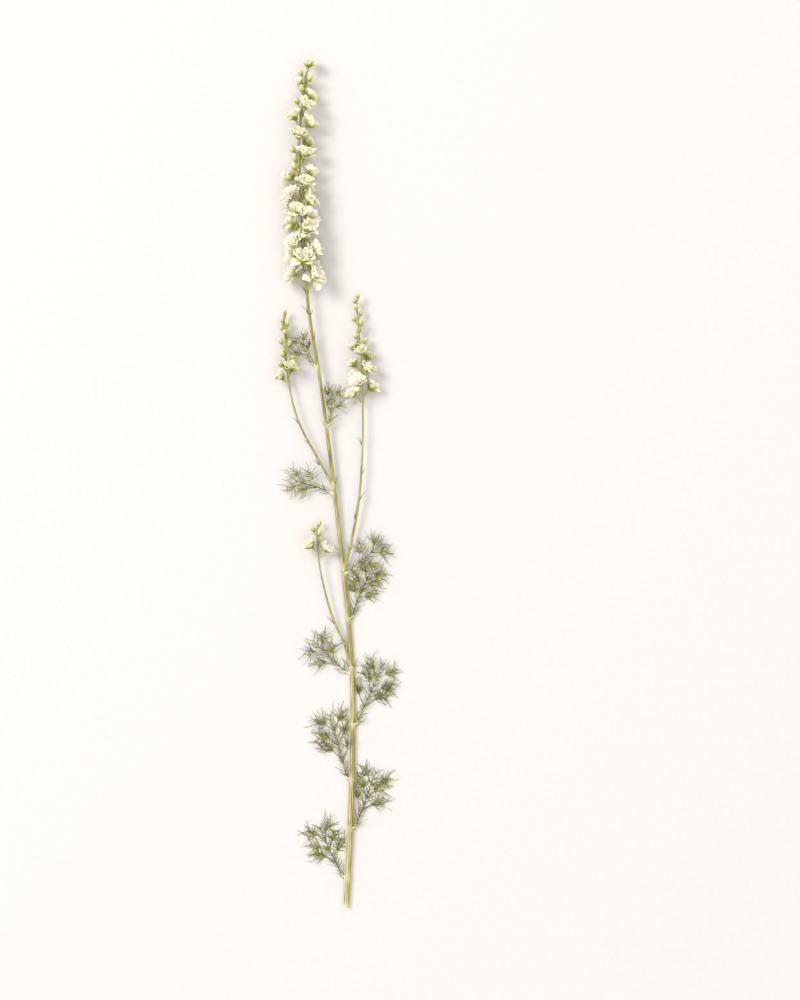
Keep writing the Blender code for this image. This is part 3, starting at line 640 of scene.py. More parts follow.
def roots_mesh(name, flowers_and_shapes):
    """One loose point for each petal or bud, which carries its size and the way its own axes point."""
    points = []
    fields = {label: [] for label in ("seat", "out_axis", "side_axis", "up_axis")}
    for flower, shape in flowers_and_shapes:
        turn = flower.facing.to_track_quat("Z", "Y").to_matrix()
        axes = turn @ Matrix.Rotation(shape["azimuth"], 3, "Z")
        start = flower.seat if "rim_radius" in shape else flower.base
        points.append(in_frame(start))
        fields["seat"].append(Vector(in_frame(start)))
        for label, axis in zip(("out_axis", "side_axis", "up_axis"), axes.transposed()):
            fields[label].append(axis.copy())
        for label, value in shape.items():
            in_mm = label in ("length", "width", "ruffle", "rim_radius", "rim_height")
            fields.setdefault(label, []).append(value * MM if in_mm else value)
    return points_mesh(name, points, fields)


def new_material(name, roughness, specular):
    """A material with one Principled shader, for a dry and dull plant surface."""
    material = bpy.data.materials.new(name)
    material.use_nodes = True
    tree = material.node_tree
    tree.nodes.clear()
    shader = add(tree, "ShaderNodeBsdfPrincipled", {
        "Roughness": roughness, "Specular IOR Level": specular, "Metallic": 0.0,
    })
    output = add(tree, "ShaderNodeOutputMaterial")
    tree.links.new(shader.outputs[0], output.inputs["Surface"])
    return material, tree, shader


def mottling(tree, size_mm, detail, stretch=(1, 1, 1)):
    """The uneven colour of a dried plant: blotches about size_mm across, on Object coordinates."""
    place = add(tree, "ShaderNodeTexCoord")
    scale = [1 / (size_mm * MM * s) for s in stretch]
    mapped = add(tree, "ShaderNodeMapping", {"Vector": place.outputs["Object"], "Scale": scale})
    return add(tree, "ShaderNodeTexNoise", {"Vector": mapped, "Scale": 1.0, "Detail": detail})


def petal_paper(look):
    """Dried petal: thin, papery and dull. Green at its claw, with painted shade deepening it to olive there, cream in
    its body and white at its rim.
    """
    material, tree, shader = new_material("dried_petal", 0.72, 0.3)
    along = add(tree, "ShaderNodeAttribute", attribute_name="along")
    across = add(tree, "ShaderNodeAttribute", attribute_name="across")
    tint = add(tree, "ShaderNodeAttribute", attribute_name="tint")
    blotches = mottling(tree, 2.4, 3.0)
    # Colour runs from claw to rim. The olive at and near the claw is partly the claw's own green and partly painted
    # shade for the floret's shaded heart.
    shift = add(tree, "ShaderNodeMath", {0: tint.outputs["Fac"], 1: -0.42, 2: along.outputs["Fac"]},
                operation="MULTIPLY_ADD")
    shift = add(tree, "ShaderNodeMath", {0: blotches.outputs["Fac"], 1: 0.22, 2: shift}, operation="MULTIPLY_ADD")
    shift = add(tree, "ShaderNodeMath", {0: shift, 1: 0.11}, operation="SUBTRACT")
    body = add(tree, "ShaderNodeValToRGB", {0: shift}, stops=[
        (0.02, look.base_colour), (0.2, "#BDBC70"), (0.38, look.body_colour), (0.58, "#FAF5D6"), (0.8, look.rim_colour),
    ])
    # Veins fan out from the claw. They are drawn about 1 mm apart, or they wouldn't show.
    lines = add(tree, "ShaderNodeMath", {0: across.outputs["Fac"], 1: 17.0}, operation="MULTIPLY")
    lines = add(tree, "ShaderNodeMath", {0: lines}, operation="COSINE")
    lines = add(tree, "ShaderNodeMapRange", {"Value": lines, "From Min": 0.35, "From Max": 1.0})
    fade = add(tree, "ShaderNodeMapRange", {
        "Value": along.outputs["Fac"], "From Min": 0.25, "From Max": 0.95, "To Min": 0.5, "To Max": 0.0,
    })
    veins = add(tree, "ShaderNodeMath", {0: lines, 1: fade}, operation="MULTIPLY")
    veined = add(tree, "ShaderNodeMix", {
        "Factor": veins, 6: body, 7: (*linear("#B9B66E"), 1),
    }, data_type="RGBA")
    # The rim has dried brown in places.
    spots = mottling(tree, 1.3, 2.0)
    brown = add(tree, "ShaderNodeMapRange", {"Value": spots.outputs["Fac"], "From Min": 0.56, "From Max": 0.7})
    rim = add(tree, "ShaderNodeMapRange", {"Value": along.outputs["Fac"], "From Min": 0.9, "From Max": 1.0})
    browned = add(tree, "ShaderNodeMath", {0: brown, 1: rim}, operation="MULTIPLY")
    browned = add(tree, "ShaderNodeMath", {0: browned, 1: 0.4}, operation="MULTIPLY")
    final = add(tree, "ShaderNodeMix", {
        "Factor": browned, 6: veined.outputs[2], 7: (*linear("#CDB98A"), 1),
    }, data_type="RGBA")
    tree.links.new(final.outputs[2], shader.inputs["Base Color"])
    bump_height = add(tree, "ShaderNodeMath", {0: spots.outputs["Fac"], 1: 0.6, 2: veins}, operation="MULTIPLY_ADD")
    bump = add(tree, "ShaderNodeBump", {"Height": bump_height, "Strength": 0.5, "Distance": 0.15 * MM})
    tree.links.new(bump.outputs[0], shader.inputs["Normal"])
    shader.inputs["Subsurface Weight"].default_value = 0.4
    shader.inputs["Subsurface Radius"].default_value = (1.0, 0.92, 0.62)
    shader.inputs["Subsurface Scale"].default_value = 1.2 * MM
    shader.inputs["Sheen Weight"].default_value = 0.12
    return material


def stem_straw(look):
    """Dried stem: straw over green, pale at the joints, and pale on the ribs and darker in the grooves as painted
    shade.
    """
    material, tree, shader = new_material("dried_ribbed_stem", 0.62, 0.35)
    along = add(tree, "ShaderNodeAttribute", attribute_name="along")
    ridge = add(tree, "ShaderNodeAttribute", attribute_name="ridge")
    tint = add(tree, "ShaderNodeAttribute", attribute_name="tint")
    streaks = mottling(tree, 0.9, 3.0, (1, 14, 1))
    patches = mottling(tree, 6.0, 2.0, (1, 5, 1))
    shade = add(tree, "ShaderNodeMath", {
        0: streaks.outputs["Fac"], 1: 0.9, 2: -0.2,
    }, operation="MULTIPLY_ADD")
    shade = add(tree, "ShaderNodeMath", {0: patches.outputs["Fac"], 1: 0.5, 2: shade}, operation="MULTIPLY_ADD")
    # Painted shade: the ridge term lightens the ribs and darkens the grooves between them.
    shade = add(tree, "ShaderNodeMath", {0: ridge.outputs["Fac"], 1: 0.4, 2: shade}, operation="MULTIPLY_ADD")
    shade = add(tree, "ShaderNodeMath", {0: shade, 1: 0.2}, operation="SUBTRACT")
    low = add(tree, "ShaderNodeValToRGB", {0: shade}, stops=[
        (0.12, "#544F1C"), (0.36, "#87823E"), (0.6, look.straw_colour), (0.85, "#D9D39D"),
    ])
    high = add(tree, "ShaderNodeValToRGB", {0: shade}, stops=[
        (0.12, "#48471A"), (0.36, look.green_colour), (0.62, "#969250"), (0.88, "#BDB977"),
    ])
    body = add(tree, "ShaderNodeMix", {"Factor": along.outputs["Fac"], 6: low, 7: high}, data_type="RGBA")
    pale = add(tree, "ShaderNodeMath", {0: tint.outputs["Fac"], 1: 0.55}, operation="MULTIPLY")
    final = add(tree, "ShaderNodeMix", {
        "Factor": pale, 6: body.outputs[2], 7: (*linear("#EDE8B8"), 1),
    }, data_type="RGBA")
    tree.links.new(final.outputs[2], shader.inputs["Base Color"])
    bump = add(tree, "ShaderNodeBump", {"Height": streaks.outputs["Fac"], "Strength": 0.4, "Distance": 0.1 * MM})
    tree.links.new(bump.outputs[0], shader.inputs["Normal"])
    return material


def bud_skin(look):
    """Dried bud: yellow green and slightly waxy, with painted shade darkening the seams between its sepals."""
    material, tree, shader = new_material("dried_bud", 0.55, 0.4)
    along = add(tree, "ShaderNodeAttribute", attribute_name="along")
    ridge = add(tree, "ShaderNodeAttribute", attribute_name="ridge")
    blotches = mottling(tree, 2.2, 3.0)
    shade = add(tree, "ShaderNodeMath", {
        0: blotches.outputs["Fac"], 1: 0.7, 2: along.outputs["Fac"],
    }, operation="MULTIPLY_ADD")
    shade = add(tree, "ShaderNodeMath", {0: shade, 1: 0.3}, operation="SUBTRACT")
    body = add(tree, "ShaderNodeValToRGB", {0: shade}, stops=[(0.0, "#6F6E2A"), (0.3, "#9C9A4A"), (0.65, look.skin_colour), (1.0, "#D8D79C")])
    # Painted shade: the seams between the sepals, and the grooves of the spurs, are darkened to olive.
    seam = add(tree, "ShaderNodeMapRange", {
        "Value": ridge.outputs["Fac"], "From Min": 0.0, "From Max": 0.5, "To Min": 0.7, "To Max": 0.0,
    })
    final = add(tree, "ShaderNodeMix", {
        "Factor": seam, 6: body, 7: (*linear("#777633"), 1),
    }, data_type="RGBA")
    tree.links.new(final.outputs[2], shader.inputs["Base Color"])
    bump = add(tree, "ShaderNodeBump", {"Height": blotches.outputs["Fac"], "Strength": 0.3, "Distance": 0.15 * MM})
    tree.links.new(bump.outputs[0], shader.inputs["Normal"])
    return material


def leaf_thread_skin(look):
    """Dried cut leaf: dull olive threads, some bleached to straw at their tips."""
    material, tree, shader = new_material("dried_cut_leaf", 0.8, 0.25)
    along = add(tree, "ShaderNodeAttribute", attribute_name="along")
    tint = add(tree, "ShaderNodeAttribute", attribute_name="tint")
    blotches = mottling(tree, 3.0, 2.0)
    shade = add(tree, "ShaderNodeMath", {
        0: tint.outputs["Fac"], 1: 0.65, 2: blotches.outputs["Fac"],
    }, operation="MULTIPLY_ADD")
    shade = add(tree, "ShaderNodeMath", {0: along.outputs["Fac"], 1: 0.2, 2: shade}, operation="MULTIPLY_ADD")
    shade = add(tree, "ShaderNodeMath", {0: shade, 1: 0.35}, operation="SUBTRACT")
    body = add(tree, "ShaderNodeValToRGB", {0: shade}, stops=[(0.0, "#343606"), (0.35, look.thread_colour), (0.72, "#85852F"), (1.0, "#B3B060")])
    tree.links.new(body.outputs[0], shader.inputs["Base Color"])
    return material


class LeafPaths:
    """A finely cut leaf as paths: ribs that fork in threes, and threads that fork again at their ends."""

    def __init__(self, stem, station, side, length, lean, seed):
        self.stem = stem
        self.side = side
        self.draw = random.Random(seed)
        self.fine_draw = random.Random(seed + 10000)
        self.paths = []
        here, along, right, _ = stem.frame(station)
        start = here + right * side * (stem_radius(station, stem.length) + LEAF_ROOT_GAP)
        heading = turned(along, -side * lean)
        forks = LONG_FORKS if length > SHORT_LEAF else SHORT_FORKS
        foot = here + along * -1.0 + right * side * 0.6
        self.grow_rib([foot], start, heading, length, 0.42, forks, self.grow_side_rib)

    def clear(self, point):
        """Keeps a point on the leaf's own side of the stem and on or above the surface."""
        low, high = 0.0, self.stem.length
        for _ in range(20):
            middle = (low + high) / 2
            if self.stem.at(middle).y < point.y:
                low = middle
            else:
                high = middle
        edge = self.stem.at(low).x + self.side * (stem_radius(low, self.stem.length) + LEAF_CLEARANCE)
        pushed = max(self.side * (edge - point.x), 0)
        height = max(point.z, LEAF_LIFT) + pushed * 0.7
        return Vector((point.x + self.side * pushed, point.y, height))

    def keep_path(self, places, thick, thin, first_share, last_share):
        tint = self.fine_draw.uniform(0, 1)
        last = len(places) - 1
        self.paths.append([
            (place, thick + (thin - thick) * i / last, first_share + (last_share - first_share) * i / last, tint)
            for i, place in enumerate(places)
        ])

    def grow_rib(self, before, start, heading, length, thickness, forks, grow_branch):
        """A rib with a pair of branches at each fork, and fine threads at its end."""
        place = start
        reached = 0
        places = [*before, start]
        for fork in forks:
            heading = turned(heading, self.draw.uniform(-7, 7)) + UP * self.draw.uniform(-0.06, 0.03)
            heading.normalize()
            place = self.clear(place + heading * length * (fork - reached))
            place = self.clear(place + heading * THREAD_STEP)
            places.append(place)
            for side in (1, -1):
                grow_branch(place, heading, length * (1 - FORK_SHORTENING * fork), side)
            reached = fork
        tip = self.clear(place + heading * length * (1 - reached))
        places.append(tip)
        self.keep_path(places, thickness, 0.16, 0.0, 0.6)
        for a, b in zip(places[1:], places[2:]):
            self.feather(a, b)

    def grow_side_rib(self, root, heading, length, side):
        """A branch of the middle rib, with an inner and an outer thread."""
        heading = turned(heading, side * self.draw.uniform(*SIDE_SWING))

        def grow_thread(thread_root, along, reach, thread_side):
            thread = INNER_THREAD if thread_side != side else OUTER_THREAD
            swing = self.draw.uniform(*thread["swing"])
            lift = UP * self.draw.uniform(*thread["lift"])
            reach *= self.draw.uniform(*thread["reach"])
            tip = thread_root + (turned(along, thread_side * swing) + lift).normalized() * reach
            tip = self.clear(tip)
            self.keep_path([thread_root, thread_root.lerp(tip, 0.5), tip], 0.32, 0.15, 0.3, 0.9)
            self.feather(thread_root, tip)

        self.grow_rib([], root, heading, length * SIDE_RIB_SHARE, 0.3, SIDE_FORKS, grow_thread)

    def feather(self, root, tip):
        """The finest threads, which leave a rib or a thread in pairs and curve forwards."""
        along = (tip - root).normalized()
        count = max(2, round((tip - root).length / FEATHER_SPACING))
        for i in range(count):
            for side in (1, -1):
                start = root.lerp(tip, (i + self.fine_draw.uniform(0.1, 0.9)) / count)
                heading = turned(along, side * self.fine_draw.uniform(24, 62))
                heading = (heading + UP * self.fine_draw.uniform(-0.2, 0.5)).normalized()
                step = self.fine_draw.uniform(*FEATHER_REACH) * 0.5
                middle = self.clear(start + heading * step)
                bend = turned((heading + along * 0.6).normalized(), self.fine_draw.uniform(-34, 34))
                end = self.clear(middle + bend * step)
                self.keep_path([start, middle, end], 0.27, 0.12, 0.5, 1.0)


def stem_radius(station, length):
    """The stem's radius where a leaf leaves it, with the swelling of the joint."""
    plain = STEM_RADII[0] + (STEM_RADII[1] - STEM_RADII[0]) * station / length
    nearest = min(abs(station - joint) for joint in JOINT_STATIONS)
    return plain * (1 + JOINT_SWELLING * max(0.0, 1 - nearest / JOINT_LENGTH))


def stem_path(route):
    """The main stem from its cut to its tip, pale at the cut and at each joint."""
    stations = {0.0, 0.4, route.length}
    stations.update(i * 5.0 for i in range(1, int(route.length / 5.0)))
    for joint in JOINT_STATIONS:
        stations.update(joint + offset for offset in (-3.2, -1.6, 0.0, 1.6, 3.2))
    path = []
    for station in sorted(stations):
        nearest = min(abs(station - joint) for joint in JOINT_STATIONS)
        pale = max(0.0, 1 - nearest / 5.0) * 0.6
        if station < 3:
            pale = 1 - station / 3
        path.append((route.at(station), stem_radius(station, route.length), station / route.length, pale))
    return path


def shoot_path(route):
    """A side shoot, with a collar where it leaves the stem."""
    count = round(route.length / 5)
    path = []
    for i in range(count + 1):
        share = i / count
        radius = SHOOT_RADII[0] + (SHOOT_RADII[1] - SHOOT_RADII[0]) * share
        collar = max(0.0, 1 - share * route.length / 8)
        path.append((route.at(share * route.length), radius * (1 + 0.35 * collar), 0.35 + 0.5 * share, collar * 0.5))
    return path


def pedicel_path(flower, is_bud):
    """A flower's own stalk, widest where it holds the flower."""
    hold = flower.base + flower.facing * (0.5 if is_bud else 1.2)
    cup = 0.75 if is_bud else 1.15
    neck = flower.base - flower.facing * 0.9
    return [
        (flower.root, 0.5, 0.6, 0.3), (flower.root.lerp(flower.bend, 0.5), 0.4, 0.65, 0.2),
        (flower.bend, 0.36, 0.7, 0.1), (neck, 0.42, 0.75, 0.0),
        (flower.base - flower.facing * 0.2, cup * 0.8, 0.85, 0.0), (hold, cup, 0.9, 0.0),
    ]


def bract_path(flower, draw):
    """The small thread-like leaf at the foot of a flower's stalk."""
    aside = flower.along.cross(flower.outward).normalized() * draw.uniform(-0.8, 0.8)
    foot = flower.root + flower.outward * 0.4
    reach = draw.uniform(3.4, 5.6)
    middle = foot + flower.outward * 1.6 + flower.along * reach * 0.45 + aside
    tip = foot + flower.outward * 2.1 + flower.along * reach + aside * 1.6
    return [(foot, 0.26, 0.3, 0.4), (middle, 0.22, 0.5, 0.4), (tip, 0.08, 0.9, draw.uniform(0.2, 0.9))]


def sheath_path(stem, station, side, lean):
    """The pale clasping foot of a leaf, wide where it holds the joint."""
    here, along, right, _ = stem.frame(station)
    radius = stem_radius(station, stem.length)
    out = right * side
    heading = turned(along, -side * lean)
    start = here + out * (radius + LEAF_ROOT_GAP)
    return [
        (here - along * 2.6 + out * radius * 0.35, 0.9, 0.1, 0.5), (here + out * radius * 0.55, 1.25, 0.1, 0.9),
        (here + out * radius * 0.95 + heading * 0.8, 0.95, 0.1, 1.0), (start + heading * 1.6, 0.5, 0.2, 0.8),
        (start + heading * 3.6, 0.4, 0.4, 0.3),
    ]


def hollow_cut(obj):
    """Opens the cut end of the stem, which is hollow once it is dry."""
    bm = bmesh.new()
    bm.from_mesh(obj.data)
    cut = min((f for f in bm.faces if len(f.verts) > 4), key=lambda f: f.calc_center_median().y)
    bmesh.ops.inset_region(bm, faces=[cut], thickness=0.62 * MM)
    middle = cut.calc_center_median()
    for corner in cut.verts:
        corner.co = middle + (corner.co - middle).normalized() * 1.15 * MM
    depth = cut.normal * -6 * MM
    made = bmesh.ops.extrude_discrete_faces(bm, faces=[cut])["faces"]
    bmesh.ops.translate(bm, vec=depth, verts=list({v for f in made for v in f.verts}))
    bm.to_mesh(obj.data)
    bm.free()


def tuft_paths(route, station, draw, thick):
    """A few short threads that a joint or a shoot carries beside its leaf."""
    here, along, right, above = route.frame(station)
    paths = []
    for _ in range(draw.choice((2, 3, 3, 4))):
        around = draw.uniform(0, math.tau)
        out = right * math.cos(around) + above * abs(math.sin(around)) * 0.6
        reach = draw.uniform(4.5, 9.5)
        foot = here + out * thick * 0.8
        middle = foot + out * draw.uniform(0.9, 2.2) + along * reach * 0.5
        tip = foot + out * draw.uniform(1.2, 4.6) + along * reach
        tint = draw.random()
        paths.append([(foot, 0.34, 0.2, tint), (middle, 0.24, 0.5, tint), (tip, 0.08, 1.0, tint)])
    return paths


def spur_path(flower):
    """The hollow spur behind a floret, which curves back along its stalk."""
    start = flower.seat + flower.facing * 0.9
    reach = SPUR_LENGTH * (1 + flower.openness)
    middle = flower.seat + flower.facing * 0.2 + flower.spur * reach * 0.5 - flower.facing * 0.5
    tip = flower.seat + flower.facing * 0.4 + flower.spur * reach
    return [(start, 0.8, 0.2, 0.2), (middle, 0.5, 0.5, 0.2), (tip, 0.28, 1.0, 0.2)]


def make_piece(obj, nodes):
    """Every piece rides on the stem's one body, and stands for the solids that it covers."""
    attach(obj, "root")
    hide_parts(*nodes)
    return obj


class StemLook(bpy.types.PropertyGroup):
    """Sizes and colours of the stem, its shoots and the flower stalks"""

    ribs: IntProperty(name="Ribs", description="Ribs round the main stem", default=7, min=3, max=12)
    rib_depth: FloatProperty(
        name="Rib depth", description="Height of a rib as a share of the radius", default=0.07, subtype="FACTOR",
        min=0, max=0.3,
    )
    straw_colour: FloatVectorProperty(
        name="Straw", description="Colour of the dry lower stem", subtype="COLOR", size=3, min=0, max=1,
        default=linear("#B3AC68"),
    )
    green_colour: FloatVectorProperty(
        name="Green", description="Colour of the upper stem", subtype="COLOR", size=3, min=0, max=1,
        default=linear("#726F30"),
    )


class BudLook(bpy.types.PropertyGroup):
    """Shape and colour of the unopened buds"""

    crease: FloatProperty(
        name="Crease", description="Depth of the seams between the sepals as a share of the radius",
        default=0.14, subtype="FACTOR", min=0, max=0.5,
    )
    skin_colour: FloatVectorProperty(
        name="Skin", description="Colour of a bud's middle", subtype="COLOR", size=3, min=0, max=1,
        default=linear("#C3C178"),
    )


class FloretLook(bpy.types.PropertyGroup):
    """Sizes and colours of the florets"""

    thickness: FloatProperty(
        name="Petal", description="Thickness of a dried petal", default=0.13 * MM, subtype="DISTANCE",
        unit="LENGTH", min=0.05 * MM, max=1 * MM, precision=5,
    )
    torn_rim: FloatProperty(
        name="Torn rim", description="How unevenly a petal ends, as a share of its length", default=0.42,
        subtype="FACTOR", min=0, max=1,
    )
    crumple: FloatProperty(
        name="Crumple", description="Depth of the folds in a petal", default=5.2 * MM, subtype="DISTANCE",
        unit="LENGTH", min=0, max=10 * MM, precision=5,
    )
    # The claw colour is partly the claw's own green and partly painted shade.
    base_colour: FloatVectorProperty(
        name="Base", description="Colour at a petal's claw", subtype="COLOR", size=3, min=0, max=1,
        default=linear("#83823A"),
    )
    body_colour: FloatVectorProperty(
        name="Body", description="Colour of a petal's middle", subtype="COLOR", size=3, min=0, max=1,
        default=linear("#EDE8B6"),
    )
    rim_colour: FloatVectorProperty(
        name="Rim", description="Colour of a petal's rim", subtype="COLOR", size=3, min=0, max=1,
        default=linear("#FFFBE8"),
    )


class LeafLook(bpy.types.PropertyGroup):
    """Shape and colour of the leaf threads"""

    waver: FloatProperty(
        name="Waver", description="How far a dried thread wanders from its line", default=2.6 * MM,
        subtype="DISTANCE", unit="LENGTH", min=0, max=5 * MM, precision=5,
    )
    thread_colour: FloatVectorProperty(
        name="Thread", description="Colour of a leaf thread", subtype="COLOR", size=3, min=0, max=1,
        default=linear("#5B5B0E"),
    )


class StageLook(bpy.types.PropertyGroup):
    """The floor and the light"""

    floor_colour: FloatVectorProperty(
        name="Floor", description="Colour of the floor", subtype="COLOR", size=3, min=0, max=1,
        default=linear("#CFCBC9"),
    )
    key_power: FloatProperty(
        name="Key", description="Power of the soft light at the upper left", default=324, subtype="POWER",
        unit="POWER", min=0,
    )
    fill_power: FloatProperty(
        name="Fill", description="Power of the wide light overhead", default=59, subtype="POWER",
        unit="POWER", min=0,
    )


class LARKSPUR_OT_stem(bpy.types.Operator):
    """Makes the ribbed main stem and its three side shoots"""

    bl_idname = "larkspur.stem"
    bl_label = "Stem and shoots"

    def execute(self, context):
        look = context.scene.larkspur_stem
        skin = stem_straw(look)
        stalks = stalk_tree()
        main_stem = grown("stem_skin", paths_mesh("stem_path", [stem_path(PLANT["stem"])]), stalks, {
            "Step": 2.2 * MM, "Sides": look.ribs * 4, "Ribs": float(look.ribs), "Rib depth": look.rib_depth,
            "Waver": 0.0, "Waver size": 40.0, "Seed": 3.0, "Material": skin,
        })
        hollow_cut(main_stem)
        make_piece(main_stem, ["stem"])
        shoots = [shoot_path(PLANT[name]) for name in SHOOT_ROUTES]
        side_shoots = grown("side_shoots", paths_mesh("shoot_paths", shoots), stalks, {
            "Step": 2.2 * MM, "Sides": 20, "Ribs": 5.0, "Rib depth": look.rib_depth,
            "Waver": 0.0, "Waver size": 40.0, "Seed": 4.0, "Material": skin,
        })
        make_piece(side_shoots, ["stem"])
        sheaths = [sheath_path(PLANT["stem"], *place[:2], place[3]) for place in LEAF_PLACES]
        leaf_feet = grown("leaf_sheaths", paths_mesh("sheath_paths", sheaths), stalks, {
            "Step": 0.6 * MM, "Sides": 12, "Ribs": 0.0, "Rib depth": 0.0,
            "Waver": 0.0, "Waver size": 40.0, "Seed": 5.0, "Material": skin,
        })
        make_piece(leaf_feet, ["stem"])
        florets = [flower for opened, _ in FLOWERS.values() for flower in opened]
        buds = [flower for _, closed in FLOWERS.values() for flower in closed]
        paths = [pedicel_path(flower, False) for flower in florets]
        paths += [pedicel_path(flower, True) for flower in buds]
        pedicels = grown("flower_stalks", paths_mesh("stalk_paths", paths), stalks, {
            "Step": 0.8 * MM, "Sides": 8, "Ribs": 0.0, "Rib depth": 0.0,
            "Waver": 0.0, "Waver size": 40.0, "Seed": 5.0, "Material": skin,
        })
        make_piece(pedicels, ["stem"])
        return {"FINISHED"}


class LARKSPUR_OT_buds(bpy.types.Operator):
    """Makes the unopened buds and the spurs behind the florets"""

    bl_idname = "larkspur.buds"
    bl_label = "Buds and spurs"

    def execute(self, context):
        look = context.scene.larkspur_bud
        skin = bud_skin(look)
        draw = random.Random(7)
        shapes = []
        for _, closed in FLOWERS.values():
            for flower in closed:
                shapes.append((flower, {
                    "azimuth": draw.uniform(0, math.tau),
                    "length": flower.size * BUD_FULLNESS,
                    "width": flower.size * BUD_SLENDERNESS / 2 * BUD_FULLNESS,
                    "number": draw.uniform(0, 6),
                    "tint": draw.random(),
                }))
        buds = grown("buds", roots_mesh("bud_roots", shapes), bud_tree(), {
            "Sides": 21, "Rings": 11, "Crease": look.crease, "Floor": 0.1 * MM, "Material": skin,
        })
        make_piece(buds, ["stem"])
        paths = [spur_path(flower) for opened, _ in FLOWERS.values() for flower in opened]
        spurs = grown("spurs", paths_mesh("spur_paths", paths), stalk_tree(), {
            "Step": 0.6 * MM, "Sides": 10, "Ribs": 5.0, "Rib depth": 0.05,
            "Waver": 0.0, "Waver size": 40.0, "Seed": 6.0, "Material": skin,
        })
        nodes = [f"{name}_{i:02d}" for name, (opened, _) in FLOWERS.items() for i in range(1, len(opened) + 1)]
        make_piece(spurs, nodes)
        return {"FINISHED"}


class LARKSPUR_OT_florets(bpy.types.Operator):
    """Makes the opened double florets, one piece for each"""

    bl_idname = "larkspur.florets"
    bl_label = "Florets"

    def execute(self, context):
        look = context.scene.larkspur_floret
        paper = petal_paper(look)
        tree = petal_tree()
        for name, (opened, _) in FLOWERS.items():
            for i, flower in enumerate(opened, 1):
                node = f"{name}_{i:02d}"
                roots = roots_mesh(node + "_roots", [(flower, petal) for petal in petals_of(flower)])
                floret = grown(node + "_petals", roots, tree, {
                    "Columns": 9, "Rows": 7, "Torn rim": look.torn_rim, "Crumple": look.crumple,
                    "Floor": 0.15 * MM, "Material": paper,
                })
                make_piece(walled(floret, look.thickness), [node])
        return {"FINISHED"}


class LARKSPUR_OT_leaves(bpy.types.Operator):
    """Makes the finely cut leaves, one piece for each, and the small bracts under the flowers"""

    bl_idname = "larkspur.leaves"
    bl_label = "Leaves and bracts"

    def execute(self, context):
        look = context.scene.larkspur_leaf
        skin = leaf_thread_skin(look)
        stalks = stalk_tree()
        for i, place in enumerate(LEAF_PLACES, 1):
            leaf = LeafPaths(PLANT["stem"], *place)
            threads = grown(f"leaf_{i:02d}_threads", paths_mesh(f"leaf_{i:02d}_paths", leaf.paths), stalks, {
                "Step": 1.3 * MM, "Sides": 5, "Ribs": 0.0, "Rib depth": 0.0,
                "Waver": look.waver, "Waver size": 160.0, "Seed": float(i), "Material": skin,
            })
            make_piece(threads, [f"leaf_{i:02d}"])
        draw = random.Random(19)
        paths = [bract_path(flower, draw) for groups in FLOWERS.values() for group in groups for flower in group]
        stem = PLANT["stem"]
        for station in (*JOINT_STATIONS, 438, 458, 474):
            paths += tuft_paths(stem, station, draw, stem_radius(station, stem.length))
        for name in SHOOT_ROUTES:
            shoot = PLANT[name]
            for i in range(1, int(shoot.length * 0.6 / 19)):
                paths += tuft_paths(shoot, i * 19 + draw.uniform(-3, 3), draw, 0.9)[:2]
        bracts = grown("bracts", paths_mesh("bract_paths", paths), stalks, {
            "Step": 0.9 * MM, "Sides": 5, "Ribs": 0.0, "Rib depth": 0.0,
            "Waver": look.waver * 0.5, "Waver size": 160.0, "Seed": 20.0, "Material": skin,
        })
        make_piece(bracts, ["stem"])
        return {"FINISHED"}


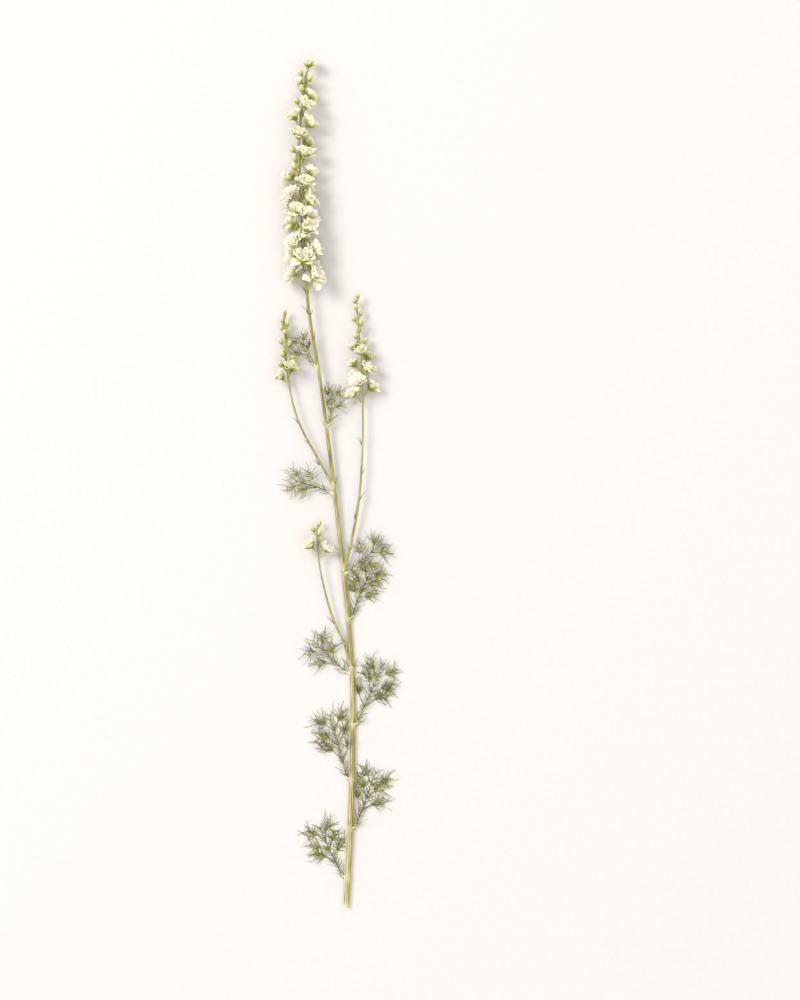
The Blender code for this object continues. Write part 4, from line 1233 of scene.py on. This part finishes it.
class LARKSPUR_OT_stage(bpy.types.Operator):
    """Makes the pale floor, the soft light and the camera that looks straight down"""

    bl_idname = "larkspur.stage"
    bl_label = "Stage"

    def execute(self, context):
        look = context.scene.larkspur_stage
        floor_mesh = bpy.data.meshes.new("floor")
        half = 14.0
        floor_mesh.from_pydata([(-half, -half, 0), (half, -half, 0), (half, half, 0), (-half, half, 0)], [],
                               [(0, 1, 2, 3)])
        floor = bpy.data.objects.new("floor", floor_mesh)
        context.scene.collection.objects.link(floor)
        material, tree, shader = new_material("matt_card", 0.9, 0.1)
        grain = mottling(tree, 4.0, 2.0)
        tone = add(tree, "ShaderNodeValToRGB", {0: grain}, stops=[(0.35, "#CDC9C7"), (0.65, look.floor_colour)])
        tree.links.new(tone.outputs[0], shader.inputs["Base Color"])
        floor_mesh.materials.append(material)

        for name, place, size, power, colour in (
            ("key", (-3.75, 2.4, 4.5), 2.55, look.key_power, "#FFFDFA"),
            ("fill", (0.6, -0.5, 4.2), 3.6, look.fill_power, "#FFFFFF"),
        ):
            light = bpy.data.lights.new(name, "AREA")
            light.size = size
            light.energy = power
            light.color = linear(colour)
            lamp = bpy.data.objects.new(name, light)
            lamp.location = place
            lamp.rotation_euler = (-Vector(place)).to_track_quat("-Z", "Y").to_euler()
            context.scene.collection.objects.link(lamp)
        world = bpy.data.worlds.new("soft_room")
        world.use_nodes = True
        world.node_tree.nodes["Background"].inputs["Color"].default_value = (*linear("#FFFEFD"), 1)
        world.node_tree.nodes["Background"].inputs["Strength"].default_value = 0.85
        context.scene.world = world

        lens = bpy.data.cameras.new("overhead")
        lens.lens = 80
        lens.sensor_width = 36
        lens.clip_end = 20
        camera = bpy.data.objects.new("overhead", lens)
        right = (400 - PLANT_CENTRE_COLUMN) * MM_PER_ROW
        up = (PLANT_CENTRE_ROW - 500) * MM_PER_ROW
        distance = 1000 * MM_PER_ROW * lens.lens / lens.sensor_width
        camera.location = (right * MM, up * MM, (distance + 8) * MM)
        context.scene.collection.objects.link(camera)
        context.scene.camera = camera
        context.scene.view_settings.view_transform = "Standard"
        return {"FINISHED"}


class LARKSPUR_PT_panel(bpy.types.Panel):
    """The larkspur stem's pieces, one button each, with their sizes and colours"""

    bl_idname = "LARKSPUR_PT_panel"
    bl_label = "Larkspur"
    bl_space_type = "VIEW_3D"
    bl_region_type = "UI"
    bl_category = "Larkspur"

    def draw(self, context):
        for operator, group in PIECES:
            box = self.layout.box()
            box.operator(operator.bl_idname)
            settings = getattr(context.scene, group)
            for key in settings.bl_rna.properties.keys():
                if key not in ("rna_type", "name"):
                    box.prop(settings, key)


PIECES = [
    (LARKSPUR_OT_stem, "larkspur_stem"),
    (LARKSPUR_OT_buds, "larkspur_bud"),
    (LARKSPUR_OT_florets, "larkspur_floret"),
    (LARKSPUR_OT_leaves, "larkspur_leaf"),
    (LARKSPUR_OT_stage, "larkspur_stage"),
]
LOOKS = {
    "larkspur_stem": StemLook,
    "larkspur_bud": BudLook,
    "larkspur_floret": FloretLook,
    "larkspur_leaf": LeafLook,
    "larkspur_stage": StageLook,
}


def register():
    for name, group in LOOKS.items():
        bpy.utils.register_class(group)
        setattr(bpy.types.Scene, name, PointerProperty(type=group))
    for operator, _ in PIECES:
        bpy.utils.register_class(operator)
    bpy.utils.register_class(LARKSPUR_PT_panel)


def unregister():
    bpy.utils.unregister_class(LARKSPUR_PT_panel)
    for operator, _ in reversed(PIECES):
        bpy.utils.unregister_class(operator)
    for name, group in reversed(LOOKS.items()):
        delattr(bpy.types.Scene, name)
        bpy.utils.unregister_class(group)


def main():
    register()
    bpy.ops.larkspur.stem()
    bpy.ops.larkspur.buds()
    bpy.ops.larkspur.florets()
    bpy.ops.larkspur.leaves()
    bpy.ops.larkspur.stage()


if __name__ == "__main__":
    main()
